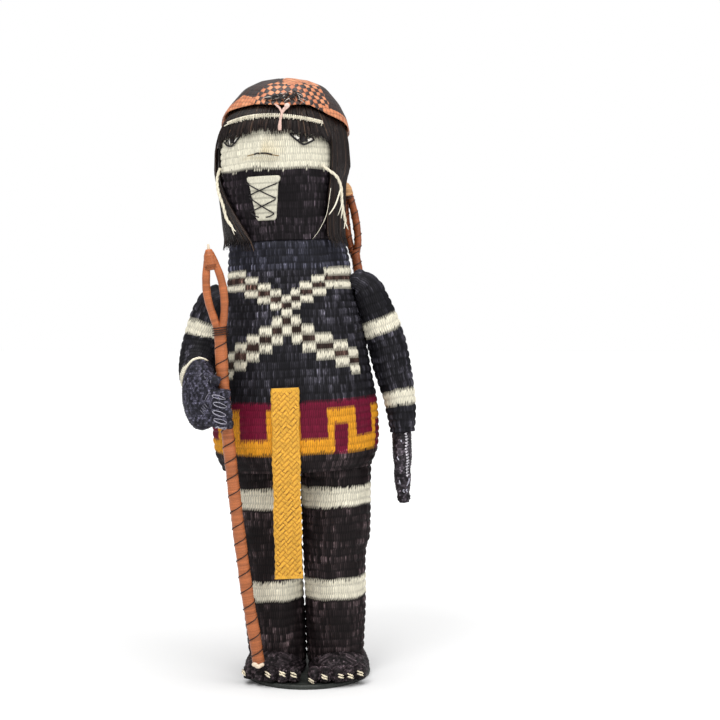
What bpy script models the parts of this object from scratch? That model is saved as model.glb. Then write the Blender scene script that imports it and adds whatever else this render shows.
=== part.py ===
"""A woven doll: a coiled-basket figure in a checked cap, holding a wrapped staff.

The doll faces -Y and stands on the XY plane. Its origin is the centre of the sole's underside, and +X is its left.
"""

from math import cos, pi, radians, sin

import bmesh
import bpy
import numpy as np
from mathutils import Matrix, Vector

# Driving dimensions, in metres
HEIGHT = 0.409
SOLE_WIDTH = 0.087
SOLE_LENGTH = 0.100
SOLE_THICKNESS = 0.003
HAIR_THICKNESS = 0.0036
CAP_THICKNESS = 0.0018
FRINGE_CORD_DIAMETER = 0.0026
PANEL_THICKNESS = 0.0016
LACE_DIAMETER = 0.0009
SASH_WIDTH = 0.0185
SASH_THICKNESS = 0.0022
STAFF_DIAMETER = 0.0082
STRAND_DIAMETER = 0.0052
TIP_DIAMETER = 0.0022
BACK_STAFF_DIAMETER = 0.0066
EAR_CORD_DIAMETER = 0.0022
FINGER_DIAMETER = 0.0064
TOE_DIAMETER = 0.0086
GAP = 0.0004
HEAD_TURN = 12.5  # degrees that the head looks to the doll's right
LEAN = 2.2  # degrees that the figure leans to its right above the feet

# The figure's proportions below are in millimetres on a doll 409 mm tall, so UNIT is one of them.
UNIT = HEIGHT / 409
POSTURE = Matrix.Rotation(radians(-LEAN), 4, "Y")
LEVEL = Matrix()

# (height, centre in x, half width, half depth) up the hips, chest, neck and head
BODY = (
    (143.0, -1.2, 51.0, 43.4),
    (146.0, -1.2, 53.6, 45.6),
    (152.0, -1.2, 55.4, 47.2),
    (165.0, -1.2, 56.8, 48.6),
    (187.0, -1.2, 56.2, 48.2),
    (205.0, -1.0, 53.6, 46.2),
    (228.0, -1.0, 50.6, 43.8),
    (251.0, -1.0, 46.6, 41.4),
    (268.0, -1.0, 42.8, 39.6),
    (284.0, -1.4, 41.2, 38.4),
    (292.5, -1.8, 40.4, 37.6),
    (296.5, -2.0, 38.6, 36.2),
    (301.0, -2.2, 38.6, 36.8),
    (313.0, -2.6, 39.4, 38.2),
    (333.0, -3.0, 41.0, 40.2),
    (347.0, -3.2, 41.6, 41.0),
    (361.0, -3.2, 41.0, 41.0),
    (370.0, -2.6, 39.6, 39.8),
    (377.0, -1.6, 36.8, 37.4),
    (384.7, -0.6, 32.0, 32.8),
    (394.6, 0.0, 23.6, 24.0),
    (398.8, 0.0, 14.5, 14.5),
    (401.5, 0.0, 0.0, 0.0),
)
BODY_SEGMENTS = 32
BODY_RINGS = 27
APEX = BODY[-1][0]
STEEPEST = 40.0  # the slope that the skin's own way out is held to at the apex

# (height, centre in x, half width, half depth) of a leg, for the left one
LEG = (
    (9.0, 20.4, 18.4, 20.0),
    (16.5, 20.6, 18.9, 20.6),
    (48.5, 21.6, 20.5, 22.2),
    (89.0, 22.7, 21.8, 23.8),
    (91.5, 23.8, 23.0, 25.0),
    (104.0, 24.2, 23.4, 25.4),
    (142.6, 25.2, 24.3, 26.4),
)
LEG_SEGMENTS = 16
LEG_STEP = 3  # the row just under the leg's step
LEG_RINGS = 8  # below that step

# (x, y, z, radius) down the middle of each arm
LEFT_ARM = (
    (38.0, 2.0, 266.5, 12.2),
    (48.5, 1.0, 262.5, 13.4),
    (54.6, 0.0, 250.0, 13.8),
    (62.6, 0.0, 228.0, 13.4),
    (67.2, -1.0, 205.0, 12.5),
    (70.6, -2.0, 189.0, 10.8),
    (71.9, -3.0, 175.0, 9.8),
    (72.2, -3.5, 164.5, 8.2),
)
RIGHT_ARM = (
    (-38.0, 2.0, 260.0, 12.0),
    (-51.5, 1.0, 256.5, 13.8),
    (-57.6, 0.0, 245.0, 14.0),
    (-62.6, -1.0, 230.5, 13.9),
    (-65.4, -8.0, 217.0, 13.2),
    (-65.2, -20.0, 209.0, 12.0),
    (-62.8, -33.0, 205.5, 11.2),
)
ARM_POINTS = 12
ARM_BEVEL_SEGMENTS = 4

# The nose is a wedge that stands out most at its foot.
NOSE_TOP = 365.5
NOSE_FOOT = 352.5
NOSE_REACH = 6.0
NOSE_WIDTH = 22.0

# Down the hair: (height, bearing of its edge on the doll's right, and on its left)
HAIR_EDGES = (
    (291.0, -26.0, 44.0),
    (301.0, -33.0, 44.0),
    (315.0, -47.0, 45.0),
    (329.0, -62.0, 47.0),
    (343.0, -80.0, 50.0),
    (354.0, -87.0, 52.0),
    (366.0, -87.0, 52.0),
)
HAIR_COLUMNS = 26
FACE_COLUMNS = 11
FRINGE_FOOT = 365.5
HAIR_FOOT = 297.5
HAIR_TOP = 391.0
LOCK_DEPTH = 1.1
LOCK_ENDS = 2.2

# The cap's rim is highest at the front and on the doll's right.
CAP_RIM = 376.0
CAP_RIM_FRONT = 9.0
CAP_RIM_SIDE = 5.0
CAP_ROWS = 6
CAP_CROWN = 0.3  # how far below the apex the crown's last ring is

FRINGE_CORD_RISE = 10.8  # above the foot of the fringe
FRINGE_CORD_BEARINGS = (-57.0, 42.0)
FRINGE_CORD_FALL = 3.1
FRINGE_CORD_MIDDLE = 16.0

# (height, radius) down the tie, which hangs at a bearing of its own
TIE = ((381.5, 1.7), (380.0, 2.5), (377.5, 2.1), (375.0, 1.1), (372.0, 1.2), (367.0, 1.7))
TIE_BEARING = 1.5

PANEL_TOP = 339.5
PANEL_FOOT = 310.5
PANEL_TOP_WIDTH = 21.5
PANEL_FOOT_WIDTH = 13.0

SASH_TOP = 200.0
SASH_FOOT = 74.0
SASH_TOP_PLACE = -4.2
SASH_FOOT_PLACE = -6.7
SASH_BELLY = 162.0  # the height below which the sash hangs free of the body

STAFF_LINE = (
    (-29.2, -43.6, 15.5),
    (-31.3, -45.0, 36.0),
    (-34.9, -46.5, 65.8),
    (-39.3, -48.0, 116.8),
    (-42.2, -50.0, 160.7),
    (-44.5, -50.0, 204.2),
    (-45.2, -50.0, 240.0),
)
STAFF_LEFT_STRAND = (
    (-45.6, -50.0, 236.5),
    (-48.4, -50.0, 246.3),
    (-51.4, -50.0, 256.6),
    (-52.8, -50.0, 266.0),
    (-52.6, -50.0, 276.0),
    (-51.6, -50.0, 283.5),
    (-50.3, -50.0, 290.0),
)
STAFF_RIGHT_STRAND = (
    (-44.6, -50.0, 236.5),
    (-42.4, -50.0, 246.5),
    (-41.4, -50.0, 257.0),
    (-41.9, -50.0, 267.0),
    (-43.8, -50.0, 276.0),
    (-46.6, -50.0, 283.5),
    (-49.5, -50.0, 290.0),
)
STAFF_TIP = ((-50.0, -50.0, 284.0), (-50.5, -50.0, 296.0))

BACK_STAFF_LINE = (
    (43.6, 21.5, 290.0),
    (46.4, 19.5, 268.0),
    (48.4, 19.0, 248.0),
    (50.0, 19.5, 226.0),
)
BACK_LEFT_STRAND = (
    (44.0, 21.4, 286.0),
    (46.0, 21.8, 296.0),
    (45.6, 22.8, 307.0),
    (44.0, 24.6, 318.0),
    (41.6, 26.4, 328.0),
    (39.6, 27.6, 335.0),
)
BACK_RIGHT_STRAND = (
    (43.2, 21.8, 286.0),
    (40.2, 24.6, 296.0),
    (38.6, 26.8, 307.0),
    (38.0, 28.2, 318.0),
    (38.2, 28.6, 328.0),
    (38.8, 28.2, 335.0),
)
BACK_STAFF_TIP = ((39.2, 28.0, 329.0), (39.0, 28.2, 340.5))

# (bearing, height, distance from the skin) down the cords beside the face
LEFT_EAR_CORD = (
    (41.0, 345.8, 1.8),
    (45.5, 342.5, 4.6),
    (52.0, 338.0, 7.0),
    (57.0, 331.0, 7.0),
    (57.8, 324.0, 7.0),
    (60.0, 317.0, 7.0),
    (64.0, 308.7, 7.0),
)
RIGHT_EAR_CORD = (
    (-72.0, 348.0, 1.8),
    (-69.0, 341.0, 5.0),
    (-62.0, 332.0, 7.0),
    (-57.0, 323.0, 7.0),
    (-54.0, 314.0, 7.0),
    (-48.0, 308.5, 7.0),
)

RIGHT_PALM = ((-59.5, -49.0, 197.5), (12.4, 13.6, 23.6))
RIGHT_FINGER_HEIGHTS = (198.2, 191.6, 185.0, 178.4)
THUMB_RISE = 7.8  # above the top finger
HAND_SEGMENTS = 12
HAND_RINGS = 9
LEFT_PALM = ((71.4, -4.5, 150.0), (6.3, 10.2, 17.0))
LEFT_WRIST = 6.4  # its radius
LEFT_FINGER_TIPS = ((-11.0, 121.5), (-6.6, 118.0), (-2.2, 117.0), (2.2, 121.0))
LEFT_FINGER_HALF = (5.7, 3.3)  # half its width and half its depth
LEFT_FINGER_ASIDE = 0.5
FINGER_SEGMENTS = 8
FINGER_RINGS = 6

FOOT_CENTRE = (21.8, 0.0)
FOOT_HALF = (21.0, 43.0, 18.0)
TOE_SPREAD = (-15.2, -7.8, -0.2, 7.6, 15.0)  # from the little toe inwards
TOE_REACH = (-32.0, -36.8, -39.6, -40.6, -40.0)
TOE_STRETCH = (1.0, 1.7, 1.3)  # across, along and up

# (colour, roughness) of each finish
FINISHES = {
    "black_fibre": ((0.020, 0.017, 0.019), 0.45),
    "hair_fibre": ((0.035, 0.022, 0.016), 0.38),
    "orange_palm": ((0.75, 0.27, 0.10), 0.5),
    "cream_fibre": ((0.80, 0.74, 0.58), 0.6),
    "yellow_braid": ((0.86, 0.55, 0.07), 0.55),
    "staff_wrap": ((0.62, 0.25, 0.09), 0.42),
    "sole_fibre": ((0.015, 0.018, 0.016), 0.6),
}


def table_at(rows, key):
    """The row of a table at a value of its first column, on a smooth curve through the rows."""
    keys = [row[0] for row in rows]
    i = min(max(int(np.searchsorted(keys, key)) - 1, 0), len(rows) - 2)
    low, high = np.array(rows[i]), np.array(rows[i + 1])
    before, after = np.array(rows[max(i - 1, 0)]), np.array(rows[min(i + 2, len(rows) - 1)])
    step = high[0] - low[0]
    rise = (high - low) / step
    start = (rise + (low - before) / max(low[0] - before[0], 1e-9)) / 2 if i else rise
    end = (rise + (after - high) / max(after[0] - high[0], 1e-9)) / 2 if i < len(rows) - 2 else rise
    # Limiting the slopes keeps a hem or a groove from overshooting.
    start = np.where(start * rise > 0, np.sign(rise) * np.minimum(abs(start), 3 * abs(rise)), 0)
    end = np.where(end * rise > 0, np.sign(rise) * np.minimum(abs(end), 3 * abs(rise)), 0)
    t = (key - low[0]) / step
    return (
        (2 * t**3 - 3 * t**2 + 1) * low
        + (t**3 - 2 * t**2 + t) * step * start
        + (3 * t**2 - 2 * t**3) * high
        + (t**3 - t**2) * step * end
    )


def smooth_path(points, count):
    """That many points along a Catmull-Rom curve through the given ones."""
    known = [np.array(p, float) for p in points]
    known = [2 * known[0] - known[1], *known, 2 * known[-1] - known[-2]]
    path = []
    for k in range(count):
        along = k * (len(points) - 1) / (count - 1)
        i = min(int(along), len(points) - 2)
        t = along - i
        a, b, c, d = known[i : i + 4]
        path.append(
            0.5 * (2 * b + (c - a) * t + (2 * a - 5 * b + 4 * c - d) * t**2 + (3 * b - a - 3 * c + d) * t**3)
        )
    return path


def material(name):
    """A plain finish, made once."""
    found = bpy.data.materials.get(name)
    if found:
        return found
    colour, roughness = FINISHES[name]
    made = bpy.data.materials.new(name)
    made.use_nodes = True
    shader = made.node_tree.nodes["Principled BSDF"]
    shader.inputs["Base Color"].default_value = (*colour, 1)
    shader.inputs["Roughness"].default_value = roughness
    shader.inputs["Metallic"].default_value = 0
    made.diffuse_color = (*colour, 1)
    return made


def collection(name):
    """A collection of the scene, made once."""
    found = bpy.data.collections.get(name)
    if not found:
        found = bpy.data.collections.new(name)
        bpy.context.scene.collection.children.link(found)
    return found


def add(name, data, finish, place=POSTURE):
    """A part of the doll from a mesh, which leans with the figure unless its place says otherwise."""
    obj = bpy.data.objects.new(name, data)
    obj.matrix_world = place
    collection("woven_doll").objects.link(obj)
    data.materials.append(material(finish))
    return obj


def helper(name, data, place=POSTURE):
    """A cutter or a shape to join, which isn't a part."""
    obj = bpy.data.objects.new(name, data)
    obj.matrix_world = place
    collection("helpers").objects.link(obj)
    obj.hide_render = True
    obj.display_type = "WIRE"
    return obj


def mesh_of(name, bm):
    """A mesh from a bmesh, shaded smooth, with its faces pointing out."""
    bmesh.ops.recalc_face_normals(bm, faces=bm.faces)
    data = bpy.data.meshes.new(name)
    bm.to_mesh(data)
    bm.free()
    data.shade_smooth()
    data.set_sharp_from_angle(angle=radians(50))
    return data


def loft(name, rings):
    """A closed mesh through rings of points, from the lowest to the highest, with flat ends."""
    bm = bmesh.new()
    rows = [[bm.verts.new(p) for p in ring] for ring in rings]
    for below, above in zip(rows, rows[1:]):
        for i in range(len(below)):
            j = (i + 1) % len(below)
            bm.faces.new((below[i], below[j], above[j], above[i]))
    bm.faces.new(rows[0])
    bm.faces.new(rows[-1])
    return mesh_of(name, bm)


def tube(name, points, diameter, bevel, radii=None):
    """A closed mesh tube along points in figure millimetres. radii are each point's own, in the same units."""
    data = bpy.data.curves.new(name, "CURVE")
    data.dimensions = "3D"
    data.bevel_depth = diameter / 2 if radii is None else UNIT
    data.bevel_resolution = bevel
    data.use_fill_caps = True
    spline = data.splines.new("POLY")
    spline.points.add(len(points) - 1)
    for k, (own, p) in enumerate(zip(spline.points, points)):
        own.co = (*(Vector(p[:3]) * UNIT), 1)
        own.radius = 1 if radii is None else radii[k]
    curve = bpy.data.objects.new(name, data)
    bpy.context.scene.collection.objects.link(curve)
    bpy.context.view_layer.update()
    made = bpy.data.meshes.new_from_object(curve.evaluated_get(bpy.context.evaluated_depsgraph_get()))
    bpy.data.objects.remove(curve)
    bpy.data.curves.remove(data)
    bm = bmesh.new()
    bm.from_mesh(made)
    bpy.data.meshes.remove(made)
    bmesh.ops.remove_doubles(bm, verts=bm.verts, dist=1e-6)
    return mesh_of(name, bm)


def ball(name, centre, half, segments=14, rings=9, turn=None):
    """An ellipsoid mesh with its centre and half sizes in figure millimetres."""
    bm = bmesh.new()
    bmesh.ops.create_uvsphere(bm, u_segments=segments, v_segments=rings, radius=UNIT)
    place = Matrix.Translation(Vector(centre) * UNIT) @ (turn or Matrix()) @ Matrix.Diagonal((*half, 1))
    bm.transform(place)
    return mesh_of(name, bm)


def swollen(obj, by=GAP):
    """A hidden copy of a part, larger by a gap all round, to cut its neighbour with."""
    bpy.context.view_layer.update()
    graph = bpy.context.evaluated_depsgraph_get()
    data = bpy.data.meshes.new_from_object(obj.evaluated_get(graph))
    bm = bmesh.new()
    bm.from_mesh(data)
    bmesh.ops.remove_doubles(bm, verts=bm.verts, dist=1e-5)
    bmesh.ops.recalc_face_normals(bm, faces=bm.faces)
    bm.normal_update()
    moved = [v.co + v.normal * by * min(v.calc_shell_factor(), 2) for v in bm.verts]
    for v, place in zip(bm.verts, moved):
        v.co = place
    bm.to_mesh(data)
    bm.free()
    return helper(f"clearance_of_{obj.name}", data, obj.matrix_world)


def boolean(obj, other, operation):
    """Adds a Boolean with another mesh object."""
    made = obj.modifiers.new(operation.lower(), "BOOLEAN")
    made.operation = operation
    made.object = other


def clear_of(obj, *others):
    """Cuts a part back so that it stays a gap away from its neighbours."""
    for other in others:
        boolean(obj, swollen(other), "DIFFERENCE")


def body_heights():
    """Heights up the body, even along its side, with the levels where other pieces begin and end."""
    heights = np.linspace(BODY[0][0], APEX, 400)
    widths = [table_at(BODY, z)[2] for z in heights]
    lengths = np.concatenate([[0], np.cumsum(np.hypot(np.diff(heights), np.diff(widths)))])
    even = np.interp(np.linspace(0, lengths[-1], BODY_RINGS), lengths, heights)[:-1]
    levels = (HAIR_FOOT, NOSE_FOOT - 1.2, NOSE_FOOT, FRINGE_FOOT, HAIR_TOP)
    return sorted([*levels, *(z for z in even if min(abs(z - own) for own in levels) > 2.5)])


def nose_reach(azimuth, z):
    """How far the nose stands out of the face at a bearing in degrees and a height."""
    rise = (NOSE_TOP - z) / (NOSE_TOP - NOSE_FOOT)
    if not 0 < rise <= 1:
        return 0.0
    _, _, wide, _ = table_at(BODY, z)
    aside = abs(radians(azimuth + HEAD_TURN)) * wide
    half = NOSE_WIDTH / 2 * (0.35 + 0.65 * rise)
    return NOSE_REACH * rise**0.8 * max(0.0, 1 - aside / half)


def skin(azimuth, z, out=0.0):
    """A point of the body's surface, out by some metres. A bearing of 0 is straight ahead, 90 the doll's left."""
    _, middle, wide, deep = table_at(BODY, min(z, APEX))
    turn = radians(azimuth)
    nose = nose_reach(azimuth, z)
    across = Vector((sin(turn) * (wide + nose), -cos(turn) * (deep + nose), 0))
    step = 0.5
    _, _, above, _ = table_at(BODY, min(z + step, APEX))
    _, _, below, _ = table_at(BODY, max(z - step, BODY[0][0]))
    slope = (below - above) / (min(z + step, APEX) - max(z - step, BODY[0][0]))
    normal = Vector((sin(turn) * deep, -cos(turn) * wide, 0))
    normal = normal.normalized() if normal.length else Vector((0, 0, 0))
    normal.z = min(slope, STEEPEST)
    normal.normalize()
    return (Vector((middle, 0, z)) + across) * UNIT + normal * out


def make_body():
    """The coiled basket of the hips, chest and head, with its nose."""
    bearings = [360 * k / BODY_SEGMENTS - HEAD_TURN for k in range(BODY_SEGMENTS)]
    rings = [[skin(a, z) for a in bearings] for z in body_heights()]
    return add("woven_body", loft("woven_body", rings), "black_fibre")


def make_leg(side, name):
    """A woven leg, which stands in its foot and meets the hips flat."""
    low, step = LEG[1][0], LEG[LEG_STEP][0]
    heights = [LEG[0][0], *np.linspace(low, step, LEG_RINGS), *(row[0] for row in LEG[LEG_STEP + 1 :])]
    rings = []
    for z in heights:
        _, middle, wide, deep = table_at(LEG, z)
        turns = [2 * pi * k / LEG_SEGMENTS for k in range(LEG_SEGMENTS)]
        rings.append([Vector((side * middle + wide * sin(t), -deep * cos(t), z)) * UNIT for t in turns])
    return add(name, loft(name, rings), "black_fibre")


def make_sole():
    """The oval plate under both feet."""
    bm = bmesh.new()
    bmesh.ops.create_cone(
        bm, cap_ends=True, segments=BODY_SEGMENTS, radius1=0.5, radius2=0.5, depth=SOLE_THICKNESS,
        matrix=Matrix.Translation((0, 0, SOLE_THICKNESS / 2)),
    )
    bmesh.ops.scale(bm, vec=(SOLE_WIDTH, SOLE_LENGTH, 1), verts=bm.verts)
    obj = add("sole", mesh_of("sole", bm), "sole_fibre", LEVEL)
    edge = obj.modifiers.new("rounded_edge", "BEVEL")
    edge.width = SOLE_THICKNESS / 4
    edge.segments = 1
    return obj


def make_foot(side, name, leg):
    """A stuffed foot with five toes, flat underneath and hollowed for the leg."""
    centre = (side * FOOT_CENTRE[0], FOOT_CENTRE[1], 0)
    floor = (SOLE_THICKNESS + GAP) / UNIT
    obj = add(name, ball(name, (*centre[:2], floor), FOOT_HALF, 16, 9), "black_fibre", LEVEL)
    half = TOE_DIAMETER / 2 / UNIT
    for k, (aside, reach) in enumerate(zip(TOE_SPREAD, TOE_REACH)):
        size = tuple(half * stretch for stretch in TOE_STRETCH)
        toe = ball(f"{name}_toe_{k}", (centre[0] - side * aside, reach, floor + size[2] * 0.75), size, 8, 7)
        boolean(obj, helper(f"{name}_toe_{k}", toe, LEVEL), "UNION")
    bm = bmesh.new()
    under = Matrix.Translation((0, 0, SOLE_THICKNESS + GAP - HEIGHT / 2)) @ Matrix.Diagonal((HEIGHT,) * 3 + (1,))
    bmesh.ops.create_cube(bm, size=1, matrix=under)
    boolean(obj, helper(f"{name}_floor", mesh_of("floor", bm), LEVEL), "DIFFERENCE")
    clear_of(obj, leg)
    return obj


def make_arm(name, line, body):
    """A tapered woven arm, cut to the chest's side."""
    path = smooth_path(line, ARM_POINTS)
    data = tube(name, path, 0, ARM_BEVEL_SEGMENTS, radii=[p[3] for p in path])
    obj = add(name, data, "black_fibre")
    clear_of(obj, body)
    return obj


def make_right_hand(arm, staff):
    """The hand that grips the staff: a back, four fingers round the front and a thumb."""
    obj = add("right_hand", ball("right_hand", *RIGHT_PALM, HAND_SEGMENTS, HAND_RINGS), "black_fibre")
    half = FINGER_DIAMETER / 2 / UNIT
    away = (STAFF_DIAMETER / 2 + GAP) / UNIT + half
    for k, z in enumerate(RIGHT_FINGER_HEIGHTS):
        x, y, _ = on_staff(z)
        line = (
            (x - 13, y - 6, z + 2.5),
            (x - 7.5, y - away * 0.86, z + 1),
            (x - 1, y - away, z),
            (x + away * 0.55, y - away * 0.8, z - 0.6),
        )
        boolean(obj, helper(f"finger_{k}", tube(f"finger_{k}", smooth_path(line, 6), FINGER_DIAMETER, 2)), "UNION")
    x, y, z = on_staff(RIGHT_FINGER_HEIGHTS[0] + THUMB_RISE)
    line = ((x - 14, y, z + 3), (x - 8, y - away * 0.8, z + 2), (x - 1.5, y - away, z))
    boolean(obj, helper("thumb", tube("thumb", smooth_path(line, 5), FINGER_DIAMETER, 2)), "UNION")
    clear_of(obj, arm, staff)
    return obj


def make_left_hand(arm):
    """The open hand that hangs with its palm to the leg."""
    obj = add("left_hand", ball("left_hand", *LEFT_PALM, HAND_SEGMENTS, HAND_RINGS), "black_fibre")
    x, y, z = LEFT_PALM[0]
    wrist = tube("left_wrist", ((x, y, z), (x, y, z + LEFT_PALM[1][2])), 2 * LEFT_WRIST * UNIT, 2)
    boolean(obj, helper("left_wrist", wrist), "UNION")
    for k, (y, tip) in enumerate(LEFT_FINGER_TIPS):
        centre = (x - LEFT_FINGER_ASIDE, y, (z + tip) / 2)
        half = (*LEFT_FINGER_HALF, (z - tip) / 2)
        finger = ball(f"left_finger_{k}", centre, half, FINGER_SEGMENTS, FINGER_RINGS)
        boolean(obj, helper(f"left_finger_{k}", finger), "UNION")
    line = ((x - 1, -9.0, z + 6), (x - 2, -15.0, z - 3), (x - 2.5, -16.0, z - 13))
    boolean(obj, helper("left_thumb", tube("left_thumb", smooth_path(line, 5), FINGER_DIAMETER, 2)), "UNION")
    clear_of(obj, arm)
    return obj


def on_staff(z):
    """The point of the staff's middle line at a height, in figure millimetres."""
    path = np.array(smooth_path(STAFF_LINE, 200))
    return tuple(np.interp(z, path[:, 2], path[:, k]) for k in range(3))


def make_staff(name, shaft, strands, tip, diameter, strand):
    """A wrapped stick whose head opens into a loop of two strands, with the stick's bare end on top."""
    points = smooth_path(shaft, 10)
    obj = add(name, tube(name, points, diameter, 3), "staff_wrap")
    for k, line in enumerate(strands):
        piece = tube(f"{name}_strand_{k}", smooth_path(line, 8), strand, 2)
        boolean(obj, helper(f"{name}_strand_{k}", piece), "UNION")
    boolean(obj, helper(f"{name}_tip", tube(f"{name}_tip", tip, TIP_DIAMETER, 2)), "UNION")
    return obj


def shell(name, rows, thickness, finish, closed=False):
    """A skin over a grid of points, left open where a point is None, and thickened outwards."""
    bm = bmesh.new()
    grid = [[p and bm.verts.new(p) for p in row] for row in rows]
    for below, above in zip(grid, grid[1:]):
        pairs = list(zip(below, below[1:], above[1:], above))
        if closed:
            pairs.append((below[-1], below[0], above[0], above[-1]))
        for corners in pairs:
            if all(corners):
                bm.faces.new(corners)
    loose = [v for v in bm.verts if not v.link_faces]
    bmesh.ops.delete(bm, geom=loose, context="VERTS")
    data = bpy.data.meshes.new(name)
    bm.to_mesh(data)
    bm.free()
    obj = add(name, data, finish)
    solid = obj.modifiers.new("thickness", "SOLIDIFY")
    solid.thickness = thickness
    solid.offset = 1
    solid.use_even_offset = True
    solid.thickness_clamp = 2
    return obj


def make_hair():
    """The hair round the head in locks, open for the face, with its fringe and its long sides."""
    heights = [z for z in body_heights() if HAIR_FOOT <= z <= HAIR_TOP]
    rows = []
    for z in heights:
        _, right, left = table_at(HAIR_EDGES, min(z, HAIR_EDGES[-1][0]))
        bearings = [left + (360 + right - left) * k / HAIR_COLUMNS for k in range(HAIR_COLUMNS + 1)]
        bearings += [right + (left - right) * k / FACE_COLUMNS for k in range(1, FACE_COLUMNS)]
        row = []
        for k, a in enumerate(bearings):
            level = z + (LOCK_ENDS if k % 2 and z == HAIR_FOOT else 0)
            lock = LOCK_DEPTH * UNIT * (k % 2) * (z < HAIR_TOP)
            open_face = z < FRINGE_FOOT and k > HAIR_COLUMNS
            row.append(None if open_face else skin(a, level, GAP + lock))
        rows.append(row)
    return shell("hair", rows, HAIR_THICKNESS, "hair_fibre", closed=True)


def rim_height(azimuth):
    """The height of the cap's rim at a bearing in degrees."""
    return CAP_RIM + CAP_RIM_FRONT * cos(radians(azimuth)) - CAP_RIM_SIDE * sin(radians(azimuth))


def make_cap():
    """The checked cap over the crown, resting on the hair."""
    bearings = [360 * k / BODY_SEGMENTS - HEAD_TURN + 180 for k in range(BODY_SEGMENTS)]
    out = HAIR_THICKNESS + LOCK_DEPTH * UNIT + 2 * GAP
    rows = []
    for k in range(CAP_ROWS + 1):
        share = sin(k / CAP_ROWS * pi / 2)
        levels = [rim_height(a) + (APEX - CAP_CROWN - rim_height(a)) * share for a in bearings]
        rows.append([skin(a, z, out) for a, z in zip(bearings, levels)])
    obj = shell("cap", rows, CAP_THICKNESS, "orange_palm", closed=True)
    bm = bmesh.new()
    bm.from_mesh(obj.data)
    bm.verts.ensure_lookup_table()
    bm.faces.new(bm.verts[-BODY_SEGMENTS:])
    bm.to_mesh(obj.data)
    bm.free()
    return obj


def make_fringe_cord():
    """The cream cord stitched across the fringe."""
    away = HAIR_THICKNESS + LOCK_DEPTH * UNIT + FRINGE_CORD_DIAMETER / 2 + 2 * GAP
    points = []
    for a in np.linspace(*FRINGE_CORD_BEARINGS, 12):
        z = FRINGE_FOOT + FRINGE_CORD_RISE - FRINGE_CORD_FALL * ((a + FRINGE_CORD_MIDDLE) / 45) ** 2
        points.append(skin(a, z, away) / UNIT)
    return add("fringe_cord", tube("fringe_cord", points, FRINGE_CORD_DIAMETER, 2), "cream_fibre")


def make_tie():
    """The pale tie that hangs over the cord and the fringe."""
    over_cord = HAIR_THICKNESS + LOCK_DEPTH * UNIT + FRINGE_CORD_DIAMETER + 3 * GAP
    points = [skin(TIE_BEARING, z, over_cord + radius * UNIT) / UNIT for z, radius in TIE]
    return add("forehead_tie", tube("forehead_tie", points, 0, 2, [radius for _, radius in TIE]), "cream_fibre")


def make_panel():
    """The cream panel of the mouth."""
    rows = []
    for z in np.linspace(PANEL_FOOT, PANEL_TOP, 5):
        share = (z - PANEL_FOOT) / (PANEL_TOP - PANEL_FOOT)
        half = (PANEL_FOOT_WIDTH + (PANEL_TOP_WIDTH - PANEL_FOOT_WIDTH) * share) / 2
        _, _, wide, _ = table_at(BODY, z)
        rows.append(
            [skin(np.degrees(half * s / wide) - HEAD_TURN, z, 2 * GAP) for s in np.linspace(-1, 1, 6)]
        )
    return shell("mouth_panel", rows, PANEL_THICKNESS, "cream_fibre")


def make_lacing():
    """The black thread laced in crosses over the panel."""
    away = 2 * GAP + PANEL_THICKNESS + LACE_DIAMETER / 2 + GAP
    threads = []
    for side in (-1, 1):
        points = []
        for k in range(7):
            z = PANEL_TOP - 5 - (PANEL_TOP - PANEL_FOOT - 7) * k / 6
            share = (z - PANEL_FOOT) / (PANEL_TOP - PANEL_FOOT)
            half = (PANEL_FOOT_WIDTH + (PANEL_TOP_WIDTH - PANEL_FOOT_WIDTH) * share) / 2
            _, _, wide, _ = table_at(BODY, z)
            swing = side * half * (1 - abs(k % 4 - 2))
            points.append(skin(np.degrees(swing / wide) - HEAD_TURN, z, away) / UNIT)
        threads.append(tube(f"lace_{side}", points, LACE_DIAMETER, 1))
    obj = add("mouth_lacing", threads[0], "black_fibre")
    boolean(obj, helper("lace_other", threads[1]), "UNION")
    return obj


def make_sash():
    """The yellow braided band down the front."""
    top = table_at(BODY, SASH_TOP)[3]
    belly = table_at(BODY, SASH_BELLY)[3]
    profile = [(top, SASH_TOP)]
    for z in np.linspace(SASH_TOP - 6, SASH_BELLY, 6):
        profile.append((table_at(BODY, z)[3], z))
    for z in np.linspace(SASH_BELLY - 12, SASH_FOOT, 9):
        profile.append((belly - 3 * ((SASH_BELLY - z) / (SASH_BELLY - SASH_FOOT)) ** 2, z))
    half = SASH_WIDTH / 2
    rows = []
    for deep, z in reversed(profile):
        share = (SASH_TOP - z) / (SASH_TOP - SASH_FOOT)
        x = (SASH_TOP_PLACE + (SASH_FOOT_PLACE - SASH_TOP_PLACE) * share) * UNIT
        y = -deep * UNIT - 2 * GAP
        rows.append([Vector((x + half * s, y, z * UNIT)) for s in (-1, -0.33, 0.33, 1)])
    return shell("sash", rows, SASH_THICKNESS, "yellow_braid")


def make_ear_cord(name, line):
    """A cream cord that hangs beside the face."""
    points = [skin(a, z, out * UNIT) / UNIT for a, z, out in line]
    return add(name, tube(name, smooth_path(points, 11), EAR_CORD_DIAMETER, 2), "cream_fibre")


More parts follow.
